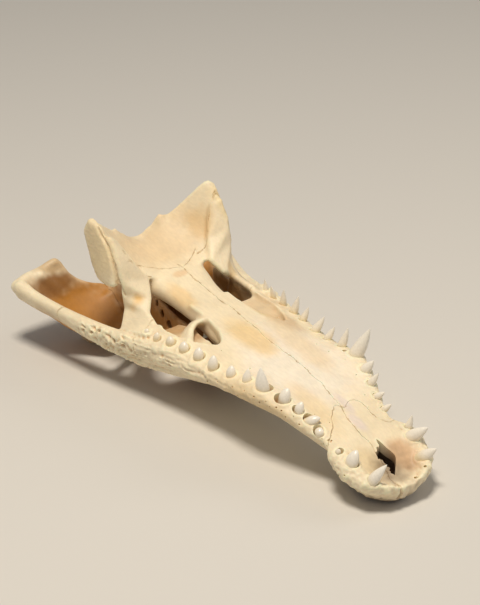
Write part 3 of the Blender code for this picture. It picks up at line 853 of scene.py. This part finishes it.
# %% Tapered plugs cut out of the rim
def upward(side, out, forward):
    return Vector((SIDE[side] * out, -forward, 1)).normalized()


def bone_tree():
    bm = bmesh.new()
    bm.from_mesh(skull.data)
    tree = BVHTree.FromBMesh(bm)
    bm.free()
    return tree


def rim_point(side, x, y):
    """Place on the tooth-bearing rim, seen from over the palate."""
    return rim.ray_cast(Vector((SIDE[side] * x, y, 60)), Vector((0, 0, -1)))[0]


def plug(bm, mouth, axis, wide, narrow, deep, proud=4.0):
    """Tapered plug whose mouth lies at a place on the surface."""
    turn = axis.to_track_quat("Z", "Y").to_matrix().to_4x4()
    middle = mouth + axis * (proud - deep) / 2
    bmesh.ops.create_cone(bm, cap_ends=True, segments=28, radius1=narrow, radius2=wide,
                          depth=deep + proud, matrix=Matrix.Translation(middle) @ turn)


def socket_depth(y):
    return 8.0 if y < 275 else 3.2


# left sockets wider than their tooth: the room round it, and how far inwards and ahead of the
# tooth the socket's middle lies
WIDE_SOCKETS = {("left", 1): (0.9, (0.8, 0.8)), ("left", 2): (1.5, (0.9, 0.6)),
                ("left", 3): (1.0, (0.0, -1.3)), ("left", 4): (1.5, (-0.6, -1.8)),
                ("left", 5): (1.1, (-0.8, -0.9)), ("left", 6): (2.2, (-1.9, -1.5)),
                ("left", 7): (1.9, (2.0, 0.9)), ("left", 10): (0.6, (0.8, 0.6)),
                ("left", 11): (0.6, (0.8, 0.6)), ("left", 12): (0.5, (0.6, 0.4)),
                ("left", 13): (0.5, (0.5, 0.3)), ("left", 14): (0.6, (0.5, 0.2))}
PLAIN_SOCKET = (0.45, (0.0, 0.0))
# sockets without a tooth: side, x, y, radius
EMPTY_SOCKETS = [("right", 12.0, 7.0, 2.1), ("right", 24.0, 9.5, 1.7),
                 ("right", 50.5, 158.0, 2.4)]


def sockets(bm):
    for side, rows in TEETH.items():
        for k, (x, y, _, radius, out, forward) in enumerate(rows):
            room, (inward, ahead) = WIDE_SOCKETS.get((side, k), PLAIN_SOCKET)
            mouth = rim_point(side, x - inward, y - ahead)
            wide = radius + room
            plug(bm, mouth, upward(side, out * 0.4, forward * 0.4), wide, wide * 0.72,
                 socket_depth(y))
    for side, x, y, radius in EMPTY_SOCKETS:
        plug(bm, rim_point(side, x, y), Vector((0, -0.3, 1)).normalized(), radius,
             radius * 0.6, 6.0)


rim = bone_tree()
combine(skull, made_of("sockets", sockets), "DIFFERENCE")
print("with sockets:", len(skull.data.polygons), "faces")

# %% [markdown]
# ## Small holes, and the flats
# Rows of foramina open beside the teeth, on the palate and along the outer side, where nerves
# and vessels came out. They are small plugs of three or four sizes. The hole behind the front
# teeth is cut by its ragged outline, and last the flats are cut that the skull lies on.

# %% Foramina, the hole in the tip, and the flats
# foramina on the palate, x and y, and on the outer side, y and z
PALATE_FORAMINA = [(22.3, 87.6), (28.6, 101), (36.7, 124), (41.5, 146.2), (39.1, 166.5),
                   (38.4, 183.2), (42.5, 221), (46.1, 251.3)]
SIDE_FORAMINA = [(83, -4), (89, -2), (94, 1), (101, -2), (108, 3), (114, 0), (119, 4),
                 (124, 5), (130, 3), (135, 6), (141, 2), (147, 5), (154, 0), (161, 3),
                 (168, -6), (176, -2), (185, -9), (196, -8), (208, -14), (66, -14), (58, -17),
                 (50, -12), (43, -19), (36, -15), (28, -21), (79, -7), (77, -11), (74, -6),
                 (75, -14), (72, -10), (80, -13), (71, -5)]


def foramina(bm):
    for side in SIDE:
        for k, (x, y) in enumerate(PALATE_FORAMINA):
            mouth = rim_point(side, x, y)
            plug(bm, mouth, Vector((0, -0.5, 1)).normalized(), 0.55 + 0.12 * (k % 3), 0.2,
                 3.5, 1.0)
        for k, (y, z) in enumerate(SIDE_FORAMINA):
            outward = Vector((SIDE[side], -0.2, 0.25)).normalized()
            aim = Vector((SIDE[side] * snout_half_width(y) * 0.9, y, z))
            mouth = rim.ray_cast(aim + outward * 90, -outward)[0]
            plug(bm, mouth, outward, 0.7 + 0.2 * (k % 4), 0.3, 3.0, 1.5)


def tip_foramen(bm):
    outlined_hole(bm, TIP_FORAMEN, -34, 20, 1, 2.2)


for name, maker in (("foramina", foramina), ("tip", tip_foramen), ("floor", resting_floor)):
    combine(skull, made_of(name, maker), "DIFFERENCE")
print("with small holes:", len(skull.data.polygons), "faces")

# %% [markdown]
# ## Seams between the bones
# The bones grow together along sutures, fine wavy gaps. Each seam is a thin wavy blade that
# parts the fused skull, so both bones keep exactly the same edge. Cutting each bone out on its
# own would leave gaps of uneven width.

# %% Wavy blades
SEAM = 0.34                             # a seam that shows
TIGHT = 0.12                            # one that has grown together
WAVES = ((0.5, 3.2), (1.1, 13.0))       # height and length of the two waves of a seam


def wave(place):
    return sum(height * noise.noise(place / length) * 2 for height, length in WAVES)


def seam_blade(bm, centre, normal, direction, half_along, half_across, gap, calm):
    """Blade round a centre, along a direction, as wide as it is given."""
    centre, normal, first = Vector(centre), Vector(normal).normalized(), Vector(direction)
    first = (first - normal * first.dot(normal)).normalized()
    second = normal.cross(first)

    def place(u, v):
        flat = (centre + first * half_along * (2 * u - 1)
                + second * half_across * (2 * v - 1))
        return flat + normal * wave(flat) * calm

    sheet(bm, place, int(half_along * 1.4) + 2, int(half_across * 1.4) + 2, gap)


def palate_blade(bm, line):
    """Upright blade that follows a line of (x, y, lowest z, highest z) on the palate."""
    keys = [(k,) + point for k, point in enumerate(line)]

    def place(u, v):
        x, y, low, high = along(keys, u * (len(line) - 1))
        flat = Vector((x, y, low + (high - low) * v))
        return flat + Vector((wave(flat), wave(flat + Vector((40, 0, 0))), 0))

    sheet(bm, place, len(line) * (24 if len(line) > 12 else 14), 40, SEAM)


measure("blade across the skull",
        lambda bm: seam_blade(bm, (0, 237, -5), (0, 1, 0), (1, 0, 0), 36, 20, SEAM, 1))

# %% [markdown]
# ## The seams over the palate
# Three seams show best. One runs down the middle and wanders to the left at the tip, one crosses
# behind the front teeth in a double curve, and one borders the pterygoid. Each follows the line
# that the picture shows, as places on the palate that a smooth curve goes through.

# %% Lines of the seams over the palate
MIDLINE_FRONT = [(-7, -12), (-7, 20), (-7.2, 50), (-7, 68), (-3.5, 90), (0.5, 109), (2.7, 126),
                 (3.7, 141), (3.8, 171), (2.5, 188), (3, 215), (4.5, 230), (5, 241)]
MIDLINE_REAR = [(5.5, 252), (6.5, 270), (6, 300), (4, 325), (3.5, 357)]
PREMAXILLA_REAR = [(-62, 62), (-48, 66), (-37, 68.6), (-26, 80), (-18, 90), (-6.6, 101), (0.5, 96),
                   (8, 101), (16, 98.5), (20.5, 88), (20, 74), (27, 65), (38, 68), (48, 66),
                   (62, 62)]
PTERYGOID_EDGE = [(-34, 367), (-26, 365.5), (-19, 363.5), (-6, 355.4), (4.3, 352.1),
                  (13.9, 353.7), (26, 362), (34, 367)]


def between(line, low, high):
    """The line's points with the lowest and highest z of its blade."""
    return [(x, y, low, high) for x, y in line]


PALATE_SEAMS = [between(MIDLINE_FRONT, -90, 30) + between(MIDLINE_REAR, -27, 12),
                between(PREMAXILLA_REAR, -80, 30), between(PTERYGOID_EDGE, -28, 21)]
print("points in each line:", [len(line) for line in PALATE_SEAMS])

# %% [markdown]
# ## The other seams, and the parting
# The rest are nearly flat. A bone comes loose only if every blade leaves it on all sides, so each
# is wider than the bone that it cuts, and short enough to spare the next one. The blades of open
# seams are kept a little longer, because dirt settles there.

# %% Nearly flat seams, and all the cuts
X, Y, Z = (1, 0, 0), (0, 1, 0), (0, 0, 1)
LEFT, RIGHT, BOTH = (-1,), (1,), (1, -1)
FLAT_SEAMS = [  # sides, centre, normal, direction, half sizes, gap, how wavy
    (RIGHT, (0, 237, -5), Y, X, 36, 20, TIGHT, 1), (RIGHT, (0, 242, -60), Y, X, 38, 32, SEAM, 1),
    (RIGHT, (0, 352, -82), Y, X, 40, 18, SEAM, 1),
    (RIGHT, (0, 400, floor_z(400) + TABLE_THICK + 3), (0, math.tan(PITCH), 1), X, 80, 50, SEAM, 1),
    (RIGHT, (0, 393, -14), Z, Y, 53, 42, SEAM, 1),
    (LEFT, (27, 278, -3.5), X, Z, 12, 15, TIGHT, 0.2),
    (BOTH, (34, 266, -60), X, Y, 27, 32, SEAM, 0.4),
    (BOTH, (16, 291, -30), Z, X, 10, 12, TIGHT, 0.4),
    (RIGHT, (68, 382.2, 45.8), (0, -0.8, 0.6), X, 36, 26, SEAM, 0.4),
    (RIGHT, (59, 356.4, 1.3), (0, -0.91, 0.41), X, 29, 29, SEAM, 0.4),
    (LEFT, (68, 374.5, 49.7), (0, -0.74, 0.67), X, 36, 27, SEAM, 0.4),
    (LEFT, (59, 350.4, 3.6), (0, -0.97, 0.25), X, 29, 29, SEAM, 0.4),
    (BOTH, (32, 356, 2), X, Y, 12, 24, TIGHT, 0.4),
    (BOTH, (51, 325.1, -23.8), (0.45, -0.62, -0.64), (0.62, 0.73, -0.23), 26.5, 27, TIGHT, 0.4),
    (BOTH, (65, 296, -30), (0, 0.88, -0.48), X, 32.5, 36, SEAM, 0.4),
    (BOTH, (97, 397, -40), Y, X, 14, 16, SEAM, 0.4),
    (BOTH, (24, 405, -54), X, (0, 1, -0.13), 42, 32, SEAM, 0.4)]


open_seams = bmesh.new()                # blades of the seams that show, for the dirt in them


def part_along(make, *sizes):
    if TIGHT not in sizes:
        make(open_seams, *sizes)
    combine(skull, made_of("blade", lambda bm: make(bm, *sizes)), "DIFFERENCE")


for line in PALATE_SEAMS:
    part_along(palate_blade, line)
for sides, (x, y, z), (nx, ny, nz), (ax, ay, az), *sizes in FLAT_SEAMS:
    for side in sides:
        part_along(seam_blade, (side * x, y, z), (side * nx, ny, nz), (side * ax, ay, az), *sizes)
seam_tree = BVHTree.FromBMesh(open_seams)
open_seams.free()
print("parted:", len(skull.data.polygons), "faces")

# %% [markdown]
# ## Sixteen bones
# The parted skull falls into loose bodies. Each big one takes the name of the bone whose middle
# is nearest to its own, and crumbs of the saw cuts are dropped.

# %% Loose bodies become named bones
PAIRED = {"premaxilla": (25, 40, -15), "maxilla": (45, 180, -10), "palatine": (12, 290, 0),
          "ectopterygoid": (60, 350, 15), "jugal": (84, 350, -40), "quadrate": (88, 440, -50)}
SINGLE = {"pterygoid": (0, 395, 10), "frontal": (0, 300, -65), "skull_table": (0, 400, -90),
          "braincase": (0, 400, -50)}
BONE_MIDDLES = SINGLE | {name + "_" + side: (SIDE[side] * x, y, z)
                         for name, (x, y, z) in PAIRED.items() for side in SIDE}


def body_labels(mesh):
    """One number per vertex, the same all over a connected body."""
    ends = np.empty(2 * len(mesh.edges), dtype=np.int64)
    mesh.edges.foreach_get("vertices", ends)
    left, right = ends.reshape(-1, 2).T
    labels = np.arange(len(mesh.vertices))
    while True:
        lowest = np.minimum(labels[left], labels[right])
        spread = labels.copy()
        np.minimum.at(spread, left, lowest)
        np.minimum.at(spread, right, lowest)
        spread = spread[spread]
        if (spread == labels).all():
            return labels
        labels = spread


def body_object(name, mesh, labels, label):
    bm = bmesh.new()
    bm.from_mesh(mesh)
    others = [vert for vert, own in zip(bm.verts, labels) if own != label]
    bmesh.ops.delete(bm, geom=others, context="VERTS")
    return new_object(name, bm)


labels = body_labels(skull.data)
numbers, sizes = np.unique(labels, return_counts=True)
places = vertex_values(skull.data, "co")
bones = {}
for number in numbers[np.argsort(-sizes)][:len(BONE_MIDDLES)]:
    middle = Vector(places[labels == number].mean(axis=0))
    name = min(BONE_MIDDLES, key=lambda bone: (middle - Vector(BONE_MIDDLES[bone])).length)
    bones[name] = body_object("bone_of_" + name, skull.data, labels, number)
bpy.data.objects.remove(skull)
print(len(bones), {name: len(bone.data.vertices) for name, bone in bones.items()})

# %% [markdown]
# ## Teeth
# A tooth is a slightly swollen cone that bends as it rises, blunt at the tip and a little wider
# along the jaw than across it. The same rolled-up grid makes all of them, with a root that goes
# down into the socket.

# %% Bent cones with roots
TOOTH_ROOT = 6.0


def tooth(bm, base, axis, crown, radius, inward, root):
    back = (Vector((0, 1, 0)) - axis * axis.y).normalized()
    across = axis.cross(back)
    length = crown + root
    # slender crowns taper nearly straight, stout ones are domes with a small point
    swell, close = (1.5, 0.78) if crown > 2.6 * radius else (2.0, 0.62)

    def place(u, v):
        rise = length * v
        up = min(max(rise - root, 0.0) / crown, 1.0)
        width = max(radius * (1 + 0.06 * math.sin(math.pi * up)) * (1 - up**swell)**close, 0.12)
        bend = inward * 0.12 * crown * up**2
        angle = 2 * math.pi * u
        keel = 1 + 0.05 * math.cos(2 * angle)
        return (base + axis * (rise - root) + across * bend
                + back * width * 1.06 * keel * math.cos(angle)
                + across * width * 0.94 * math.sin(angle))

    tube(bm, place, 28, 30)


def teeth_between(side, start, end):
    def make(bm):
        for x, y, crown, radius, out, forward in TEETH[side][start:end]:
            tooth(bm, rim_point(side, x, y) - Vector((0, 0, 1.2)),
                  upward(side, out, forward), crown + 1.2, radius, SIDE[side],
                  min(TOOTH_ROOT, socket_depth(y) - 1.6))
    return make


teeth = {}
for side in TEETH:
    teeth["premaxilla_" + side] = made_of("front_teeth_" + side, teeth_between(side, 0, 3))
    teeth["maxilla_" + side] = made_of("back_teeth_" + side, teeth_between(side, 3, 16))
print("teeth:", {name: len(piece.data.polygons) for name, piece in teeth.items()})

# %% [markdown]
# ## Stains, and painted shade
# Cleaned bone is cream, and it yellows where fat and gelatin stayed in it. Those stains are broad
# and soft, so a short list of places is enough: each stain is an ellipsoid with a colour and a
# strength, and noise will break up its edge. Some of the dark patches in the list are painted
# shade:
# under and inside the snout's tip, where it rests, on the snout's lower left side and on the left
# shelf, and partly inside the skull and on the wall inside the right opening.

# %% Soft stains and painted shade at named places
def linear(code):
    """A colour written in sRGB, such as F2E0C0, turned to linear values."""
    parts = [int(code[k:k + 2], 16) / 255 for k in (0, 2, 4)]
    return [c / 12.92 if c <= 0.04045 else ((c + 0.055) / 1.055)**2.4 for c in parts]


STAINS_AND_SHADE = [  # colour, middle, half sizes along x, y, z, and how strong it is
    # D9BC88 darkens the lower left side of the snout: painted shade
    ("FAEDDA", (4, 165, 8), (52, 80, 12), 0.85), ("D9BC88", (-64, 130, -14), (22, 80, 26), 0.65),
    ("C9A06A", (38, 240, 4), (14, 34, 14), 0.5),
    ("E0C296", (0, 392, 22), (56, 36, 40), 0.55), ("E0BC82", (45, 380, 34), (16, 18, 22), 0.55),
    ("DCC486", (40, 412, 12), (18, 12, 16), 0.5), ("DFC794", (-71, 384, 32), (8, 34, 40), 0.5),
    ("E2CB94", (69, 384, 40), (8, 24, 24), 0.5),
    ("E6B65E", (-55, 336, -7), (8, 8, 12), 0.9), ("E9BE6E", (54, 338, -6), (7, 9, 14), 0.4),
    ("F0CE8E", (-8, 222, 8), (17, 36, 20), 0.7), ("EFC98A", (-20, 316, 5), (9, 24, 16), 0.6),
    ("E0A560", (-3, 342, 6), (9, 5, 12), 0.35), ("D9BE78", (28, 264, 5), (6, 26, 12), 0.65),
    ("EBD2A6", (24, 190, 6), (14, 50, 20), 0.5), ("EBCF9C", (-22, 110, 3), (12, 40, 20), 0.45),
    ("D9A26C", (16, 30, -12), (15, 20, 16), 0.58), ("E9DAD2", (5, 101, 0), (5, 16, 14), 0.6),
    ("E9DAD4", (0, 76, 0), (6, 15, 14), 0.65),
    ("E6CC9A", (-18, 36, -12), (12, 20, 16), 0.5), ("C9A06C", (46, 270, -10), (22, 40, 8), 0.4),
    # B98A50 and A87A48 turn the left shelf, seen through the opening, brown: painted shade
    ("B98A50", (-44, 272, -16), (26, 40, 9), 0.85), ("A87A48", (-34, 270, -7), (12, 14, 7), 0.5),
    ("BA8136", (-60, 426, -66), (66, 62, 30), 1.0), ("BA8136", (60, 426, -66), (66, 62, 30), 1.0),
    ("93642E", (-80, 449, -42), (32, 14, 13), 0.95),
    ("93642E", (80, 449, -42), (32, 14, 13), 0.95),
    ("C98A3A", (-84, 398, -54), (18, 24, 16), 0.85), ("B8935F", (-68, 461, -27), (24, 9, 9), 0.6),
    # 86602E on the wall inside the right opening is partly stain and partly painted shade
    ("DDB878", (-84, 382, -50), (14, 14, 12), 0.6), ("86602E", (56, 338, -30), (22, 44, 22), 0.9),
    # B07830 inside the skull is partly stain and partly painted shade; 5A3410 under and inside the
    # snout's tip, where it rests, is painted shade
    ("B07830", (0, 318, -48), (64, 86, 36), 0.95), ("5A3410", (0, 40, -38), (30, 40, 28), 1.0)]


print("stains:", len(STAINS_AND_SHADE), "first colour, linear:", [round(c, 3) for c in linear(STAINS_AND_SHADE[0][0])])

# %% [markdown]
# ## Painted shade, dirt, and the colour of each point
# Painted shade and dirt are worked out from the shape: a point that lies deeper than its
# neighbours is in a pit or a groove and turns browner, which is painted shade with some dirt in
# it, one that stands proud is made paler, and here and there dirt has settled in the seams. Teeth
# are white above and yellow at the neck, so their colour follows the height over the rim. Every
# point keeps its colour as an attribute.

# %% Stains, painted shade and dirt on the bone, tints on the teeth
# the second colour is the brown of painted shade in the hollows, with some dirt in it
CREAM, SHADE_AND_DIRT = "F4E4C3", "93703F"
PALEST = 0.93                           # dry bone never sends back more light than this
SEAM_DARKENS = (0.36, 0.46, 0.6)        # red, green and blue that dirt takes away in a seam
TOOTH_TINTS = [("E6D3AC", -5.0), ("F1E5CC", -2.0), ("F9F1E2", 2.0), ("FBF6EA", 12.0)]


def hollowness(mesh, rounds):
    """How far each point lies below the average of those round it, in mm."""
    ends = np.empty(2 * len(mesh.edges), dtype=np.int64)
    mesh.edges.foreach_get("vertices", ends)
    one, two = ends.reshape(-1, 2).T
    places = vertex_values(mesh, "co")
    both, others = np.concatenate([one, two]), np.concatenate([two, one])
    count = np.bincount(both, minlength=len(places))
    soft = places
    for _ in range(rounds):
        soft = np.column_stack([np.bincount(both, soft[others, k], len(places)) / count
                                for k in range(3)])
    return ((soft - places) * vertex_values(mesh, "normal")).sum(axis=1)


def seam_dirt(places):
    """1 at a seam's blade, 0 from a millimetre away."""
    away = np.array([seam_tree.find_nearest(Vector(p), 1.2)[3] or 1.2 for p in places])
    return smoothstep(0.7, 0.2, away) * smoothstep(-0.3, 0.4, noise_at(places, 7.0, 61.0))


def store_tint(mesh, colour):
    """One colour for each point, as the attribute that the materials read."""
    tint = mesh.color_attributes.new("tint", "FLOAT_COLOR", "POINT")
    tint.data.foreach_set("color", np.column_stack([colour, np.ones(len(colour))]).ravel())


def stained_and_shaded(piece):
    mesh = piece.data
    places = vertex_values(mesh, "co")
    colour = np.tile(linear(CREAM), (len(places), 1))
    ragged = 0.16 * noise_at(places, 17.0, 2.0) + 0.10 * noise_at(places, 5.0, 4.0)
    # the list holds stains and patches of painted shade alike
    for code, middle, sizes, strength in STAINS_AND_SHADE:
        away = np.linalg.norm((places - middle) / sizes, axis=1) + ragged
        share = (strength * smoothstep(1.25, 0.5, away))[:, None]
        colour = colour * (1 - share) + np.array(linear(code)) * share
    deep = hollowness(mesh, 8)
    # painted shade, with some dirt: points that lie deeper than their neighbours turn browner
    hollow_shade_and_dirt = (0.6 * smoothstep(0.1, 0.9, deep))[:, None]
    colour = colour * (1 - hollow_shade_and_dirt) + colour * np.array(linear(SHADE_AND_DIRT)) * 2.2 * hollow_shade_and_dirt
    colour *= 1 + 0.10 * smoothstep(0.05, 0.5, -deep)[:, None]
    colour *= 1 - seam_dirt(places)[:, None] * SEAM_DARKENS
    store_tint(mesh, np.clip(colour, 0, PALEST))


def tooth_tints(piece):
    places = vertex_values(piece.data, "co")
    over_rim = places[:, 2] - np.interp(places[:, 1], *zip(*MARGIN_Z))
    heights = [height for _, height in TOOTH_TINTS]
    rows = np.array([linear(code) for code, _ in TOOTH_TINTS])
    store_tint(piece.data, np.column_stack([np.interp(over_rim, heights, rows[:, k])
                                            for k in range(3)]))


for bone in bones.values():
    stained_and_shaded(bone)
for row in teeth.values():
    tooth_tints(row)
print("stained_and_shaded", len(bones), "bones with", len(STAINS_AND_SHADE), "stains")

# %% [markdown]
# ## Nodes
# A material is a small tree of nodes. One function adds a node with its settings and its links,
# and the others give the two things that both materials need: noise of a real size, and a tint
# that it makes a little darker or paler.

# %% Helpers for the materials
def add_node(tree, kind, links=(), **settings):
    """A node with its settings, and its inputs linked or set by name."""
    node = tree.nodes.new(kind)
    for name, value in settings.items():
        setattr(node, name, value)
    for name, value in links:
        if isinstance(value, bpy.types.NodeSocket):
            tree.links.new(value, node.inputs[name])
        else:
            node.inputs[name].default_value = value
    return node


def new_material(name):
    material = bpy.data.materials.new(name)
    material.use_nodes = True
    tree = material.node_tree
    return material, tree, tree.nodes["Principled BSDF"]


def noise_texture(tree, spot, size, detail):
    """Noise whose lumps are about size metres wide."""
    return add_node(tree, "ShaderNodeTexNoise", [("Vector", spot), ("Scale", 1 / size),
                                                 ("Detail", detail)]).outputs["Fac"]


def varied(tree, tint, share, low, high):
    """The tint, made darker or paler as share goes from 0.35 to 0.65."""
    shade = add_node(tree, "ShaderNodeMapRange", [("Value", share), ("From Min", 0.35),
                                                  ("From Max", 0.65), ("To Min", low),
                                                  ("To Max", high)])
    return add_node(tree, "ShaderNodeVectorMath", [(0, tint), ("Scale", shade.outputs["Result"])],
                    operation="SCALE").outputs["Vector"]


print("helpers:", [made.__name__ for made in (add_node, new_material, noise_texture, varied)])

# %% [markdown]
# ## Bone and tooth
# Old bone is a dense, slightly waxy solid: a little light goes in and comes out again, which
# softens it. Its fine grain is a bump of a fraction of a millimetre. Enamel is harder, whiter and
# smoother, and bends light more, so its highlights are small and sharp.

# %% Bone and tooth materials
# sizes in metres; the real streaks and grain are finer, but they wouldn't show
CLOUD, STREAK, GRAIN, ENAMEL_STREAK = 0.02, 0.0025, 0.0011, 0.002
GRAIN_HEIGHT = 0.0002


def old_bone():
    material, tree, shader = new_material("dry_bone")
    tint = add_node(tree, "ShaderNodeAttribute", attribute_name="tint").outputs["Color"]
    spot = add_node(tree, "ShaderNodeTexCoord").outputs["Object"]
    stretched = add_node(tree, "ShaderNodeMapping", [("Vector", spot), ("Scale", (1, 0.3, 1))])
    cloudy = varied(tree, tint, noise_texture(tree, spot, CLOUD, 4.0), 0.95, 1.03)
    streaky = varied(tree, cloudy, noise_texture(tree, stretched.outputs["Vector"], STREAK, 5.0),
                     0.955, 1.03)
    tree.links.new(streaky, shader.inputs["Base Color"])
    grain = noise_texture(tree, stretched.outputs["Vector"], GRAIN, 4.0)
    bump = add_node(tree, "ShaderNodeBump", [("Height", grain), ("Strength", 0.5),
                                             ("Distance", GRAIN_HEIGHT)])
    tree.links.new(bump.outputs["Normal"], shader.inputs["Normal"])
    shader.inputs["Roughness"].default_value = 0.5
    shader.inputs["IOR"].default_value = 1.5
    shader.inputs["Subsurface Weight"].default_value = 0.1
    shader.inputs["Subsurface Radius"].default_value = (0.003, 0.002, 0.0012)
    return material


def enamel():
    material, tree, shader = new_material("tooth_enamel")
    tint = add_node(tree, "ShaderNodeAttribute", attribute_name="tint").outputs["Color"]
    spot = add_node(tree, "ShaderNodeTexCoord").outputs["Object"]
    streaky = varied(tree, tint, noise_texture(tree, spot, ENAMEL_STREAK, 3.0), 0.95, 1.03)
    tree.links.new(streaky, shader.inputs["Base Color"])
    shader.inputs["Roughness"].default_value = 0.3
    shader.inputs["IOR"].default_value = 1.62
    return material


BONE, ENAMEL = old_bone(), enamel()
print("materials:", BONE.name, ENAMEL.name)

# %% [markdown]
# ## Onto the floor
# Each piece is moved into the floor's frame by its mesh, so its object stays unturned at the
# origin. It rides on the skull's one rigid body and takes the place of its coarse solid.

# %% Into the floor's frame
def finished(piece, node, material):
    piece.data.transform(TO_ROW)
    piece.data.materials.clear()
    piece.data.materials.append(material)
    piece.data.shade_smooth()
    piece.data.set_sharp_from_angle(angle=math.radians(50))
    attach(piece, "root")
    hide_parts(node)


for name, bone in bones.items():
    finished(bone, name, BONE)
for name, row in teeth.items():
    finished(row, name, ENAMEL)
triangles = {piece.name: sum(len(face.vertices) - 2 for face in piece.data.polygons)
             for piece in [*bones.values(), *teeth.values()]}
print("triangles:", sum(triangles.values()), "most in one piece:", max(triangles.values()))

# %% [markdown]
# ## A plain studio
# The skull lies on a plain pale floor. The main light hangs high over it, a little to the left
# and in front, and a weak one comes from the right. The camera looks down at the palate from the
# front left with a long lens, as the photographer did.

# %% Floor, light and camera
AIM = Vector((0, 0, 0.05))              # the lights point at the middle of the skull
AZIMUTH, ELEVATION = math.radians(-36.9003), math.radians(27.0167)
DISTANCE, TARGET = 1.99065, Vector((0.00633, 0.01977, 0.09378))
LENS, SENSOR = 127.311, 36.0


def studio():
    bm = bmesh.new()
    bmesh.ops.create_grid(bm, x_segments=1, y_segments=1, size=6)
    floor = new_object("floor", bm)
    material, tree, shader = new_material("pale_floor")
    shader.inputs["Base Color"].default_value = (*linear("D9D6D0"), 1)
    shader.inputs["Roughness"].default_value = 0.8
    floor.data.materials.append(material)


def pointed(thing, place, aim):
    """Puts a lamp or the camera at a place, looking at another."""
    thing.location = place
    thing.rotation_euler = (aim - place).to_track_quat("-Z", "Y").to_euler()
    bpy.context.scene.collection.objects.link(thing)


def softbox(name, place, size, power, colour):
    light = bpy.data.lights.new(name, "AREA")
    light.shape = "DISK"
    light.size, light.energy = size, power
    light.color = linear(colour)
    pointed(bpy.data.objects.new(name, light), Vector(place), AIM)


def camera():
    back = Vector((math.sin(AZIMUTH) * math.cos(ELEVATION),
                   -math.cos(AZIMUTH) * math.cos(ELEVATION), math.sin(ELEVATION)))
    data = bpy.data.cameras.new("camera")
    data.lens, data.sensor_height, data.sensor_fit = LENS, SENSOR, "VERTICAL"
    made = bpy.data.objects.new("camera", data)
    pointed(made, TARGET + back * DISTANCE, TARGET)
    bpy.context.scene.camera = made


studio()
softbox("key", (-0.5, -0.25, 2.25), 0.6, 42, "FFF4E4")
softbox("side", (1.6, -0.7, 1.1), 1.0, 6, "FFF6EA")
world = bpy.data.worlds.new("world")
world.use_nodes = True
sky = world.node_tree.nodes["Background"].inputs
sky["Color"].default_value = (1, 1, 1, 1)
sky["Strength"].default_value = 0.2
bpy.context.scene.world = world
bpy.context.scene.view_settings.view_transform = "Standard"
camera()
